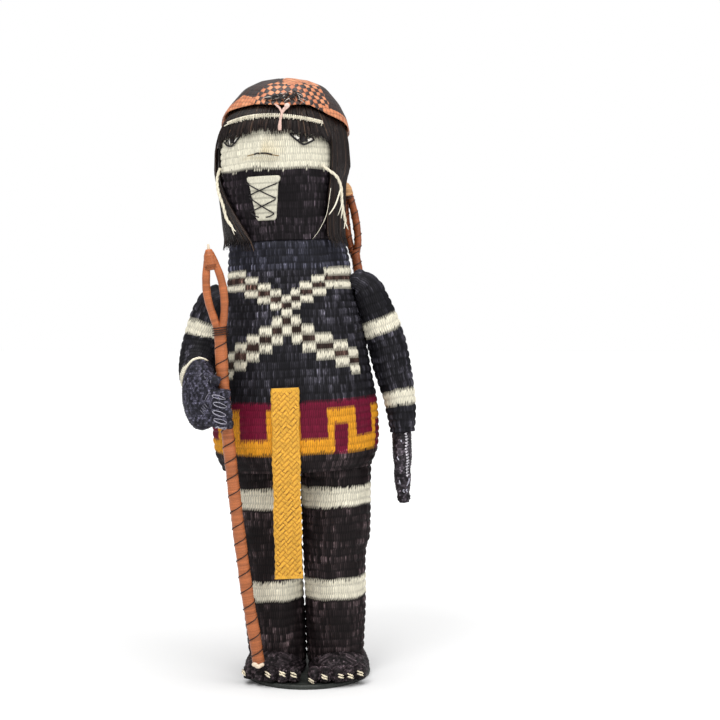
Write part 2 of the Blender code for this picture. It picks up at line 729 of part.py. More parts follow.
def main():
    for obj in list(bpy.data.objects):
        bpy.data.objects.remove(obj)
    body = make_body()
    legs = [make_leg(1, "left_leg"), make_leg(-1, "right_leg")]
    make_sole()
    make_foot(1, "left_foot", legs[0])
    right_foot = make_foot(-1, "right_foot", legs[1])
    left_arm = make_arm("left_arm", LEFT_ARM, body)
    right_arm = make_arm("right_arm", RIGHT_ARM, body)
    strands = (STAFF_LEFT_STRAND, STAFF_RIGHT_STRAND)
    staff = make_staff("staff", STAFF_LINE, strands, STAFF_TIP, STAFF_DIAMETER, STRAND_DIAMETER)
    make_right_hand(right_arm, staff)
    clear_of(staff, right_foot)
    make_left_hand(left_arm)
    strands = (BACK_LEFT_STRAND, BACK_RIGHT_STRAND)
    back_staff = make_staff(
        "back_staff", BACK_STAFF_LINE, strands, BACK_STAFF_TIP, BACK_STAFF_DIAMETER, STRAND_DIAMETER
    )
    clear_of(back_staff, body, left_arm)
    make_hair()
    make_cap()
    make_fringe_cord()
    make_tie()
    make_panel()
    make_lacing()
    make_sash()
    make_ear_cord("left_ear_cord", LEFT_EAR_CORD)
    make_ear_cord("right_ear_cord", RIGHT_EAR_CORD)


main()
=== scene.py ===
"""The looks of the woven doll: coiled fibre, crochet, hair, a plaited cap and sash, and wrapped staffs.

Places are in figure millimetres: the doll's own frame before it leans, with its origin under the sole.
A bearing is in degrees round the figure, 0 to the front and 90 to the doll's left.
"""

from math import cos, pi, radians, sin, tan

import bmesh
import bpy
import numpy as np
from mathutils import Matrix, Vector
from mathutils.bvhtree import BVHTree


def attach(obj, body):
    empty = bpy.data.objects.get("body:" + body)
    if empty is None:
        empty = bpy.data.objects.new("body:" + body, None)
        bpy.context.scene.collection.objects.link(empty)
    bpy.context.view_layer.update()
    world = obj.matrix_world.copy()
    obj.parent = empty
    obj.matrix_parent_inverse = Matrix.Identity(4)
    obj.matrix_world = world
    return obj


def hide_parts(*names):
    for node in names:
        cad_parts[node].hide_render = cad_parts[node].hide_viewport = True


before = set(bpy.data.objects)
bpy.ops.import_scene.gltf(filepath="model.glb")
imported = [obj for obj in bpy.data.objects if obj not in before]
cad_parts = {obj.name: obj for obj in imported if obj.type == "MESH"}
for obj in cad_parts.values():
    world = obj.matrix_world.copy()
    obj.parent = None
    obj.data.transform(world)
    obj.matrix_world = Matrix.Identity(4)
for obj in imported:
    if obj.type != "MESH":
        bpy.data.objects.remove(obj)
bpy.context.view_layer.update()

LEAN = radians(2.2)
POSTURE = np.array(Matrix.Rotation(-LEAN, 3, "Y"))
LEVEL = np.eye(3)
MM = 0.001

# The camera, from the photograph's angle
CAMERA_BEARING = 3.0
CAMERA_DISTANCE = 1.05
CAMERA_HEIGHT = 0.26
CAMERA_AIM_RIGHT = 0.0365
CAMERA_AIM_HEIGHT = 0.216
CAMERA_VIEW_ANGLE = 26.5
# The floor's half width in metres, and the strengths of the surroundings' light and the sun
FLOOR_REACH = 6.0
AMBIENT = 0.5
SUN = 2.3

# (coil row, height): rows count up from the middle of the chest's cross
BODY_ROWS = (
    (-19.5, 143.0),
    (-17.0, 155.6),
    (-10.0, 190.0),
    (-6.5, 209.5),
    (0.5, 249.1),
    (6.5, 275.5),
    (11.0, 297.0),
    (20.0, 344.6),
    (26.0, 372.0),
)
NECK_ROW = 11
MASK_ROW = 20
CROWN_ROW = 26
BODY_STITCHES = 210
SUB_ROWS = 4
COIL_BULGE = 0.42
STITCH_RIDGE = 0.55

LEG_MIDDLE = 23.6
LEG_ROW = 5.26
LEG_BAND_FOOT = 52.6
LEG_FOOT = 9.5
LEG_TOP = 142.4
LEG_STITCHES = 96
ARM_STITCHES = 54
ARM_ROW = 5.1
# The arm's weave starts this far down its line, inside the shoulder
ARM_INSET = 1.6

# Down the hair: (height, bearing of its edge on the doll's right, and on its left)
HAIR_EDGES = (
    (285.0, -25.0, 43.0),
    (291.0, -26.0, 44.0),
    (301.0, -33.0, 44.0),
    (315.0, -47.0, 45.0),
    (329.0, -62.0, 47.0),
    (343.0, -80.0, 50.0),
    (354.0, -87.0, 52.0),
    (366.0, -87.0, 52.0),
)
# (height, centre in x, half width, half depth) up the neck and head
HEAD = (
    (284.0, -1.4, 41.2, 38.4),
    (292.5, -1.8, 40.4, 37.6),
    (296.5, -2.0, 38.6, 36.2),
    (301.0, -2.2, 38.6, 36.8),
    (313.0, -2.6, 39.4, 38.2),
    (333.0, -3.0, 41.0, 40.2),
    (347.0, -3.2, 41.6, 41.0),
    (361.0, -3.2, 41.0, 41.0),
    (370.0, -2.6, 39.6, 39.8),
    (377.0, -1.6, 36.8, 37.4),
    (384.7, -0.6, 32.0, 32.8),
    (394.6, 0.0, 23.6, 24.0),
    (398.8, 0.0, 14.5, 14.5),
    (401.5, 0.0, 0.01, 0.01),
)
# (bearing, height) along the foot of the fringe
FRINGE_FOOT = (
    (-66.0, 366.0),
    (-55.0, 366.0),
    (-40.0, 366.6),
    (-33.0, 366.6),
    (-22.0, 369.2),
    (-16.0, 370.0),
    (-9.0, 367.6),
    (3.0, 367.0),
    (10.0, 367.2),
    (15.0, 365.2),
    (24.0, 364.3),
    (34.0, 363.4),
    (48.0, 361.6),
    (57.0, 359.5),
)

STAFF_LINE = (
    (-29.2, -43.6, 15.5),
    (-31.3, -45.0, 36.0),
    (-34.9, -46.5, 65.8),
    (-39.3, -48.0, 116.8),
    (-42.2, -50.0, 160.7),
    (-44.5, -50.0, 204.2),
    (-45.2, -50.0, 240.0),
)
STAFF_STRANDS = (
    (
        (-45.6, -50.0, 236.5),
        (-48.4, -50.0, 246.3),
        (-51.4, -50.0, 256.6),
        (-52.8, -50.0, 266.0),
        (-52.6, -50.0, 276.0),
        (-51.6, -50.0, 283.5),
        (-50.3, -50.0, 290.0),
    ),
    (
        (-44.6, -50.0, 236.5),
        (-42.4, -50.0, 246.5),
        (-41.4, -50.0, 257.0),
        (-41.9, -50.0, 267.0),
        (-43.8, -50.0, 276.0),
        (-46.6, -50.0, 283.5),
        (-49.5, -50.0, 290.0),
    ),
)
STAFF_HEAD = ((-49.0, -50.0, 279.0), (-49.6, -50.0, 284.0), (-50.0, -50.0, 288.6), (-50.3, -50.0, 292.6))
STAFF_TIP = ((-50.0, -50.0, 288.0), (-50.5, -50.0, 296.0))
BACK_STAFF_LINE = (
    (43.6, 21.5, 290.0),
    (46.4, 19.5, 268.0),
    (48.4, 19.0, 248.0),
    (50.0, 19.5, 226.0),
)
BACK_STAFF_STRANDS = (
    (
        (44.0, 21.4, 286.0),
        (46.0, 21.8, 296.0),
        (45.6, 22.8, 307.0),
        (44.0, 24.6, 318.0),
        (41.6, 26.4, 328.0),
        (39.6, 27.6, 335.0),
    ),
    (
        (43.2, 21.8, 286.0),
        (40.2, 24.6, 296.0),
        (38.6, 26.8, 307.0),
        (38.0, 28.2, 318.0),
        (38.2, 28.6, 328.0),
        (38.8, 28.2, 335.0),
    ),
)
BACK_STAFF_HEAD = ((39.6, 27.6, 328.0), (39.2, 28.0, 333.0), (39.0, 28.2, 337.6))
BACK_STAFF_TIP = ((39.2, 28.0, 333.0), (39.0, 28.2, 340.5))
STAFF_RADIUS = 4.1
STRAND_RADIUS = 2.6
BACK_STAFF_RADIUS = 3.3

# (bearing, height, distance from the skin) down the cords beside the face
LEFT_EAR_CORD = (
    (41.0, 345.8, 1.8),
    (45.5, 342.5, 4.6),
    (52.0, 338.0, 7.0),
    (57.0, 331.0, 7.0),
    (57.8, 324.0, 7.0),
    (60.0, 317.0, 7.0),
    (64.0, 308.7, 7.0),
)
RIGHT_EAR_CORD = (
    (-72.0, 348.0, 1.8),
    (-69.0, 341.0, 5.0),
    (-62.0, 332.0, 7.0),
    (-57.0, 323.0, 7.0),
    (-54.0, 314.0, 7.0),
    (-48.0, 308.5, 7.0),
)
EAR_CORD_DIAMETER = 2.2

LEFT_ARM_LINE = (
    (38.0, 2.0, 266.5),
    (48.5, 1.0, 262.5),
    (54.6, 0.0, 250.0),
    (62.6, 0.0, 228.0),
    (67.2, -1.0, 205.0),
    (70.6, -2.0, 189.0),
    (71.9, -3.0, 175.0),
    (72.2, -3.5, 164.5),
)
RIGHT_ARM_LINE = (
    (-42.0, 2.0, 260.0),
    (-51.5, 1.0, 256.5),
    (-57.6, 0.0, 245.0),
    (-62.6, -1.0, 230.5),
    (-65.4, -8.0, 217.0),
    (-65.2, -20.0, 209.0),
    (-62.8, -33.0, 205.5),
)

# The chest's columns end at these bearings, to the doll's right and left
CHEST_EDGES_ABOVE = ((4.7, 15.4, 28.0, 42.0), (5.1, 13.6, 25.5, 39.0))
CHEST_EDGES_BELOW = ((4.4, 14.0, 25.5, 37.5, 50.0, 58.0), (4.2, 12.0, 23.5, 39.5, 53.5, 64.0))
# (bearing, place along the meander) round the belt
BELT_TURN = (
    (0.0, -1.6),
    (28.5, 23.5),
    (71.3, 66.3),
    (318.0, 304.4),
    (340.7, 323.1),
    (346.4, 328.8),
    (360.0, 340.8),
)
BELT_START = 23.5
BELT_REPEAT = 42.8
# Shares of a repeat where the meander's first leg, the gap inside it and its top bar end
BELT_SHARES = (0.133, 0.376, 0.563)

# (bearing, height) round the cap's rim
CAP_RIM = (
    (-180, 365.5),
    (-120, 372.0),
    (-90, 378.0),
    (-68, 381.2),
    (-44, 383.2),
    (-25, 383.6),
    (-7, 382.4),
    (10, 381.6),
    (24, 382.0),
    (30, 381.6),
    (36, 379.8),
    (43, 377.8),
    (57, 375.0),
    (74, 371.4),
    (93, 368.5),
    (120, 366.0),
    (180, 365.5),
)
CAP_TOP = 401.2
# How far the cap's lining and its plait lie from the head's skin
CAP_LINING_OUT = 5.5
CAP_PLAIT_OUT = 7.2

FRINGE_STRANDS = 470
LONG_STRANDS = 820
TUFT_FIBRES = 150

SASH_TOP = 200.0
SASH_FOOT = 74.0
SASH_WIDTH = 18.5
PLY = 3.7


def linear(red, green, blue):
    """A colour in linear light from its 0 to 255 values."""
    shares = (red / 255, green / 255, blue / 255)
    return tuple(s / 12.92 if s < 0.04045 else ((s + 0.055) / 1.055) ** 2.4 for s in shares)


BLUE_BLACK = linear(26, 25, 29)
# A lighter grey for the rows above the chest: a painted sheen
NECK_SHEEN_GREY = linear(34, 34, 41)
BROWN_BLACK = linear(31, 25, 26)
MASK_BLACK = linear(25, 21, 24)
WARM_BROWN = linear(46, 34, 30)
CREAM = linear(226, 220, 200)
FACE_CREAM = linear(228, 223, 203)
MAROON = linear(106, 20, 46)
GOLD = linear(222, 152, 40)


def smooth_path(points, count):
    """That many points along a Catmull-Rom curve through the given ones."""
    known = [np.array(p, float) for p in points]
    known = [2 * known[0] - known[1], *known, 2 * known[-1] - known[-2]]
    path = []
    for k in range(count):
        along = k * (len(points) - 1) / (count - 1)
        i = min(int(along), len(points) - 2)
        t = along - i
        a, b, c, d = known[i : i + 4]
        path.append(
            0.5 * (2 * b + (c - a) * t + (2 * a - 5 * b + 4 * c - d) * t**2 + (3 * b - a - 3 * c + d) * t**3)
        )
    return np.array(path)


def lengths_along(path):
    """How far along a path each of its points is."""
    return np.concatenate([[0], np.cumsum(np.linalg.norm(np.diff(path, axis=0), axis=1))])


def read_path(values, lengths, along):
    """Values of a path's points, read at distances along it."""
    return np.stack([np.interp(along, lengths, column) for column in values.T], axis=1)


def even_path(points, spacing):
    """A smooth path with its points that far apart."""
    fine = smooth_path(points, 400)
    lengths = lengths_along(fine)
    return read_path(fine, lengths, np.linspace(0, lengths[-1], max(int(lengths[-1] / spacing), 2) + 1))


def tapering(path, shares, values):
    """A value for each point of a path, from a few that are given at shares of its length."""
    return np.interp(np.linspace(0, 1, len(path)), shares, values)


def across_path(path, start=(1.0, 0.0, 0.0)):
    """Two unit directions across a path at each of its points, which don't twist along it."""
    ahead = np.gradient(path, axis=0)
    ahead /= np.linalg.norm(ahead, axis=1)[:, None]
    across = np.zeros_like(ahead)
    side = np.array(start, float)
    for k, way in enumerate(ahead):
        side = side - way * (side @ way)
        side /= np.linalg.norm(side)
        across[k] = side
    return across, np.cross(ahead, across)


def rings_round(path, sides, start=(1.0, 0.0, 0.0), flat=1.0):
    """Unit rings across a path, and the turns of their points. flat squeezes one way across."""
    across, up = across_path(path, start)
    turns = np.arange(sides) * 2 * pi / sides
    ring = np.cos(turns)[None, :, None] * across[:, None]
    return ring + flat * np.sin(turns)[None, :, None] * up[:, None], turns


def grid_faces(rows, columns):
    """The quads of a grid of points that closes on itself across its columns, as corner numbers."""
    i, j = np.meshgrid(np.arange(rows - 1), np.arange(columns), indexing="ij")
    k = (j + 1) % columns
    low, high = i * columns, (i + 1) * columns
    return np.stack([low + j, low + k, high + k, high + j], axis=-1).reshape(-1, 4)


# The ridge, coil and chance of a piece without stitches
PLAIN_FIBRE = (1.0, 1.0, 0.5)


class Shape:
    """Points, faces and colours that pile up into one piece.

    A fibre is three values from 0 to 1 that the materials read: ridge, coil and chance.
    """

    def __init__(self):
        self.points, self.faces, self.tints, self.fibres = [], [], [], []
        self.count = 0

    def add(self, points, faces, tint, fibre):
        points = np.asarray(points, float).reshape(-1, 3)
        self.points.append(points)
        self.faces.extend(tuple(int(c) + self.count for c in face) for face in faces)
        for kept, values in ((self.tints, tint), (self.fibres, fibre)):
            kept.append(np.broadcast_to(np.asarray(values, float).reshape(-1, 3), points.shape))
        self.count += len(points)

    def add_grid(self, points, tint, fibre=PLAIN_FIBRE):
        """A tube-like grid of points, rows first, closed at both ends by a fan."""
        rows, columns = points.shape[:2]
        ends = np.stack([points[0].mean(0), points[-1].mean(0)])
        faces = [tuple(face) for face in grid_faces(rows, columns)]
        low, high = rows * columns, rows * columns + 1
        last = (rows - 1) * columns
        for j in range(columns):
            k = (j + 1) % columns
            faces.append((k, j, low))
            faces.append((last + j, last + k, high))

        def padded(values):
            values = np.broadcast_to(np.asarray(values, float), points.shape).reshape(-1, 3)
            return np.concatenate([values, values[:1], values[-1:]])

        self.add(np.concatenate([points.reshape(-1, 3), ends]), faces, padded(tint), padded(fibre))

    def add_ring(self, points, tint):
        """A grid of points that closes on itself both ways."""
        rows, columns = points.shape[:2]
        self.add(points, grid_faces(rows + 1, columns) % (rows * columns), tint, PLAIN_FIBRE)

    def add_tube(self, path, radius, sides, tint, fibre=PLAIN_FIBRE, flat=1.0, start=(1.0, 0.0, 0.0)):
        """A closed tube along a path. radius may be one for each point, and flat squeezes one way across."""
        ring, _ = rings_round(path, sides, start, flat)
        radius = np.broadcast_to(np.asarray(radius, float), len(path))[:, None, None]
        tint, fibre = (np.broadcast_to(np.asarray(v, float), (len(path), 3))[:, None] for v in (tint, fibre))
        self.add_grid(path[:, None] + ring * radius, tint, fibre)

    def add_ball(self, centre, half, tint):
        """A small ellipsoid."""
        rises = np.linspace(-pi / 2 + 0.15, pi / 2 - 0.15, 8)[:, None]
        turns = (np.arange(12) * 2 * pi / 12)[None]
        level, rise = np.cos(rises), np.sin(rises) + 0 * turns
        unit = np.stack([level * np.cos(turns), level * np.sin(turns), rise], -1)
        self.add_grid(np.asarray(centre) + unit * np.asarray(half), tint)


def in_scene(name, data):
    """A new object with that data, linked into the scene."""
    obj = bpy.data.objects.new(name, data)
    bpy.context.scene.collection.objects.link(obj)
    return obj


def piece(name, shape, material, nodes=(), posture=POSTURE):
    """Makes a shape a piece of the scene, in place of the nodes it stands for."""
    mesh = bpy.data.meshes.new(name)
    points = np.concatenate(shape.points) * MM @ posture.T
    mesh.from_pydata(points.tolist(), [], shape.faces)
    for title, values in (("tint", shape.tints), ("fibre", shape.fibres)):
        attribute = mesh.color_attributes.new(title, "FLOAT_COLOR", "POINT")
        values = np.concatenate(values)
        values = np.concatenate([values, np.ones((len(values), 1))], axis=1)
        attribute.data.foreach_set("color", values.astype(np.float32).ravel())
    mesh.shade_smooth()
    bm = bmesh.new()
    bm.from_mesh(mesh)
    bmesh.ops.recalc_face_normals(bm, faces=bm.faces)
    bm.to_mesh(mesh)
    bm.free()
    mesh.materials.append(material)
    obj = in_scene(name, mesh)
    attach(obj, "root")
    if nodes:
        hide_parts(*nodes)
    return obj


def surface_of(node_name):
    """A node's surface in figure millimetres, to cast rays at."""
    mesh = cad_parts[node_name].data
    back = Matrix(POSTURE.T.tolist())
    points = [(back @ v.co) / MM for v in mesh.vertices]
    return BVHTree.FromPolygons(points, [tuple(p.vertices) for p in mesh.polygons])


def cast(surface, origin, way):
    """How far from the origin the surface is that way, or None."""
    origin = Vector(origin)
    farthest = 90.0
    found = surface.ray_cast(origin, Vector(way), farthest)[0]
    return (found - origin).length if found else None


def from_front(surface, x, z):
    """Where a ray from in front of the doll first meets a surface, and the way the surface faces there."""
    well_before = -150.0
    place, way, *_ = surface.ray_cast(Vector((x, well_before, z)), Vector((0, 1, 0)))
    return place, way


def softened(values, times, wrap):
    """Evens out a table of radii along its last axis."""
    for _ in range(times):
        if wrap:
            values = (np.roll(values, 1, -1) + 2 * values + np.roll(values, -1, -1)) / 4
        else:
            padded = np.concatenate([values[:1], values, values[-1:]])
            values = (padded[:-2] + 2 * padded[1:-1] + padded[2:]) / 4
    return values


def measured_radii(surface, centres, sides, fronts, count):
    """The surface's distance from each centre at even bearings."""
    table = np.zeros((len(centres), count))
    turns = np.arange(count) * 2 * pi / count
    for i, centre in enumerate(centres):
        for j, turn in enumerate(turns):
            way = sides[i] * sin(turn) + fronts[i] * cos(turn)
            found = cast(surface, centre, way)
            table[i, j] = found if found else (table[i, j - 1] or 10.0)
    return softened(table, 2, True)


def noise_over(rows, columns, waves, seed):
    """A smooth wandering value round a tube, about -1 to 1, that meets itself."""
    rng = np.random.default_rng(seed)
    total = np.zeros((len(rows), len(columns)))
    for _ in range(waves):
        around = rng.integers(1, 9)
        along = rng.uniform(-0.9, 0.9)
        total += np.sin(around * columns[None] + along * rows[:, None] + rng.uniform(0, 2 * pi))
    return total / np.sqrt(waves)


def coil_levels(first, last):
    """Steps up the coil, counted in rows, with both ends exactly in place."""
    levels = np.arange(np.ceil(first * SUB_ROWS), np.floor(last * SUB_ROWS) + 1) / SUB_ROWS
    if levels[0] - first > 0.02:
        levels = np.concatenate([[first], levels])
    if last - levels[-1] > 0.02:
        levels = np.concatenate([levels, [last]])
    return levels


def form_radii(node, rows, levels, turns, ways):
    """How far a node's own surface is from its middle line, at each level and turn.

    ways are three functions of a row: its centre, and the ways to the side and front.
    """
    first, last = rows
    coarse = np.linspace(first, last, max(int((last - first) * 1.3), 6))
    inset = 0.02 * (last - first) / len(coarse)
    inside = np.clip(coarse, first + inset, last - inset)
    centres, sides, fronts = (np.array([way(row) for row in inside]) for way in ways)
    count = 120
    table = measured_radii(surface_of(node), centres, sides, fronts, count)
    closed = np.concatenate([table, table[:, :1]], axis=1)
    at_turns = np.stack([np.interp(turns, np.arange(count + 1) * 2 * pi / count, line) for line in closed])
    return np.stack([np.interp(levels, coarse, column) for column in at_turns.T], axis=1)


def bitten_tint(rng, levels, bearings, teeth, colour_of):
    """The colour of each place, where stitches bite over the edge between rows of unlike colours."""
    column = np.arange(len(bearings))[None]
    near = np.floor(levels + 0.5 + 1e-6).astype(int)[:, None] + 0 * column
    below, above = (colour_of(near + k, bearings[None] + 0 * near) for k in (-1, 0))
    low, high = teeth
    length = rng.random((near.max() - near.min() + 1, len(bearings)))[near[:, 0] - near.min()]
    long = (column + near) % 2 == 0
    bite = low + (high - low) * np.where(long, 0.5 + 0.5 * length, 0.45 * length)
    bite = bite * np.sign(above.sum(-1) - below.sum(-1))
    return np.where((levels[:, None] - near > bite - 1e-6)[..., None], above, below)


def weave(
    shape, node, rows, centre_of, side_of, front_of, stitches, colour_of, seed, teeth=(0.0, 0.6),
    depth_of=None, tone_of=None,
):
    """A coiled surface: stitched coil rows round a node's form.

    rows is the first and last coil row, and the functions take a row: its centre, and the ways to the side
    and front. colour_of takes whole rows and bearings in degrees. teeth is how far stitches bite into a paler
    row. depth_of says how far the surface moves out, and tone_of what its colour is multiplied by, both from
    levels in rows and bearings in degrees.
    """
    rng = np.random.default_rng(seed)
    first, last = rows
    levels = coil_levels(first, last)
    columns = 2 * stitches
    column = np.arange(columns)
    turns = column * 2 * pi / columns
    radii = form_radii(node, rows, levels, turns, (centre_of, side_of, front_of))
    whole = np.floor(levels + 1e-6).astype(int)
    part = levels - whole
    rank = whole - whole.min() + 1
    ranks = rank.max() + 3
    stitch = ((column[None] + (whole[:, None] % 2)) // 2) % stitches
    ridge = ((column[None] + whole[:, None]) % 2 == 0).astype(float)
    luck, luck_two = rng.random((2, ranks, stitches))[:, rank[:, None], stitch]
    coil = np.broadcast_to(np.sin(np.clip(part, 0, 1) * pi)[:, None] ** 0.6, ridge.shape)
    groove = part[:, None] < 0.01
    sway = noise_over(levels, turns, 6, seed + 1)
    puff = noise_over(levels * 0.5, turns, 5, seed + 2)
    height = COIL_BULGE * (coil - 0.62) + STITCH_RIDGE * (ridge - 0.5) * (0.35 + 0.9 * coil)
    height += 0.3 * (luck - 0.5) * coil + 0.22 * puff
    if depth_of is not None:
        height += depth_of(levels[:, None], np.degrees(turns)[None])
    radii = radii + height
    shift = (luck_two - 0.5) * 0.45 * (2 * pi / stitches) * (0.2 + 0.8 * coil)
    angle = turns[None] + shift
    lift = 0.08 * sway + 0.12 * (luck - 0.5) * groove
    lift[[0, -1]] = 0
    points = np.zeros((len(levels), columns, 3))
    for i, level in enumerate(levels):
        side, front = np.array(side_of(level)), np.array(front_of(level))
        low, high = max(level - 0.5, first), min(level + 0.5, last)
        along = (np.array(centre_of(high)) - np.array(centre_of(low))) / max(high - low, 1e-6)
        way = np.sin(angle[i])[:, None] * side + np.cos(angle[i])[:, None] * front
        points[i] = np.array(centre_of(level)) + way * radii[i][:, None] + along[None] * lift[i][:, None]
    bearings = (column * 180 / stitches + 180) % 360 - 180
    tint = bitten_tint(rng, levels, bearings, teeth, colour_of)
    if tone_of is not None:
        tint = tint * tone_of(levels[:, None], bearings[None])
    # Some lengths of coil get fewer painted highlights than others, and a slightly darker tone
    highlight_dimming = noise_over(levels * 1.3, turns, 7, seed + 3) + 1.4 * rng.random(ranks)[rank][:, None] - 0.7
    luck = luck * np.clip(0.7 + 0.3 * highlight_dimming, 0.1, 1.0)
    shape.add_grid(points, tint, np.stack([ridge, coil, luck], axis=-1))


def banded(colours, choices):
    """Picks a colour for each place from an array of choice numbers."""
    return np.array(colours)[choices]


def read_table(table, value):
    """A table's later columns, read at values of its first."""
    first, *others = zip(*table)
    return [np.interp(value, first, column) for column in others]


def on_line(points, value):
    """The second column of a table of two, read at values of its first."""
    return read_table(points, value)[0]


def body_height(row):
    return on_line(BODY_ROWS, row)


def body_middle(z):
    """Where the body's middle line is at a height, in x."""
    return float(np.interp(z, (187, 292, 301, 347, 370, 385, 395), (-1.2, -1.8, -2.2, -3.2, -2.6, -0.6, 0.0)))


def body_centre(row):
    z = float(body_height(row))
    return (body_middle(z), 0.0, z)


def sideways(row):
    """The doll's left, which is the same for each row of an upright form."""
    return np.array((1.0, 0, 0))


def forwards(row):
    """The doll's front, which is the same for each row of an upright form."""
    return np.array((0, -1.0, 0))


def belt_colour(row, bearing):
    """1 for gold, 0 for maroon: a gold meander that rises and falls round the belt."""
    share = ((on_line(BELT_TURN, bearing % 360) - BELT_START) / BELT_REPEAT) % 1.0
    leg_end, gap_end, bar_end = BELT_SHARES
    gap = (share >= leg_end) & (share <= gap_end)
    under_bar = (share < bar_end) & (row <= -12)
    bar = under_bar & (row >= -13)
    foot = (row <= -16) & ~gap
    return (bar | (under_bar & ~gap) | foot).astype(int)


def chest_choice(row, bearing):
    """The chest's pattern: 2 cream, 3 brown, 0 plain."""
    upper = row >= 0
    column = np.zeros(np.shape(bearing), int)
    for place, edges in ((upper, CHEST_EDGES_ABOVE), (~upper, CHEST_EDGES_BELOW)):
        for side, line in zip((-1, 1), edges):
            column = np.where(place & (bearing * side >= 0), np.searchsorted(line, abs(bearing)), column)
    away = abs(row)
    reach = np.where(upper, np.minimum(column, 4), column)
    shown = upper | (column <= 5)
    cream = shown & ((away == reach) | (away == reach + 2))
    brown = shown & (away == reach + 1)
    return np.where(cream, 2, np.where(brown, 3, 0))


def torso_colour(row, bearing):
    colours = (BLUE_BLACK, BROWN_BLACK, CREAM, WARM_BROWN, MAROON, GOLD, NECK_SHEEN_GREY)
    choice = chest_choice(row, bearing)
    choice = np.where(abs(row) > 7, 0, choice)
    choice = np.where(row < -8, 0, choice)
    belt = (row <= -11) & (row >= -17)
    choice = np.where(belt, 4 + belt_colour(row, bearing), choice)
    choice = np.where(row < -17, 1, choice)
    # Rows above the chest's pattern are lighter: a painted sheen
    choice = np.where(row > 6, 6, choice)
    return banded(colours, choice)


def head_colour(row, bearing):
    return banded((MASK_BLACK, FACE_CREAM), (row >= MASK_ROW).astype(int))


def painted_nose_shade(level, bearing):
    """Painted shade beside the nose's ridge and in the fold under it."""
    z = body_height(level)
    beside = np.clip((bearing + 17) / 5, 0, 1) * np.clip((8 - bearing) / 20, 0, 1)
    shade = 0.3 * beside * np.interp(z, (352.5, 354.5, 358, 367), (0, 1, 0.75, 0))
    fold = np.exp(-(((z - 350.6 + 0.03 * bearing) / 0.9) ** 2)) * np.clip((bearing + 40) / 8, 0, 1)
    shade = shade + 0.16 * fold * np.clip((4 - bearing) / 6, 0, 1)
    return 1 - shade[..., None] * np.array((0.6, 0.85, 1.3))


def nodes_of(name):
    """A new material with its node tree and its Principled shader."""
    material = bpy.data.materials.new(name)
    material.use_nodes = True
    tree = material.node_tree
    return material, tree, tree.nodes["Principled BSDF"]


def node(tree, kind, inputs=None, **settings):
    """Adds a node: inputs are values or sockets by name or number, settings are its properties."""
    made = tree.nodes.new(kind)
    for key, value in settings.items():
        setattr(made, key, value)
    for key, value in (inputs or {}).items():
        if isinstance(value, bpy.types.NodeSocket):
            tree.links.new(value, made.inputs[key])
        else:
            made.inputs[key].default_value = value
    return made


def maths(tree, operation, first, second=0.0):
    return node(tree, "ShaderNodeMath", {0: first, 1: second}, operation=operation).outputs[0]


def times(tree, *factors):
    """The product of all the factors."""
    product = factors[0]
    for factor in factors[1:]:
        product = maths(tree, "MULTIPLY", product, factor)
    return product


def spread(tree, value, low, high, to_low, to_high):
    """Maps a value from one range onto another."""
    inputs = {"Value": value, "From Min": low, "From Max": high, "To Min": to_low, "To Max": to_high}
    return node(tree, "ShaderNodeMapRange", inputs).outputs["Result"]


def streaks(tree, scale, stretch, detail=3.0):
    """Noise drawn out along the figure's height, for fibres."""
    place = node(tree, "ShaderNodeTexCoord").outputs["Object"]
    drawn = node(tree, "ShaderNodeMapping", {"Vector": place, "Scale": (scale, scale, scale / stretch)})
    inputs = {"Vector": drawn.outputs["Vector"], "Scale": 1.0, "Detail": detail, "Roughness": 0.6}
    return node(tree, "ShaderNodeTexNoise", inputs).outputs["Fac"]


def paint(tree, shader, colour, factor):
    """Gives a shader its colour, made lighter or darker by a factor."""
    scaled = node(tree, "ShaderNodeVectorMath", {0: colour, "Scale": factor}, operation="SCALE")
    tree.links.new(scaled.outputs["Vector"], shader.inputs["Base Color"])


def raise_bumps(tree, shader, height, strength, distance):
    """Shades a surface as if it were raised by a height."""
    bump = node(tree, "ShaderNodeBump", {"Height": height, "Strength": strength, "Distance": distance})
    tree.links.new(bump.outputs["Normal"], shader.inputs["Normal"])


def read_attribute(tree, name, output):
    return node(tree, "ShaderNodeAttribute", attribute_name=name).outputs[output]


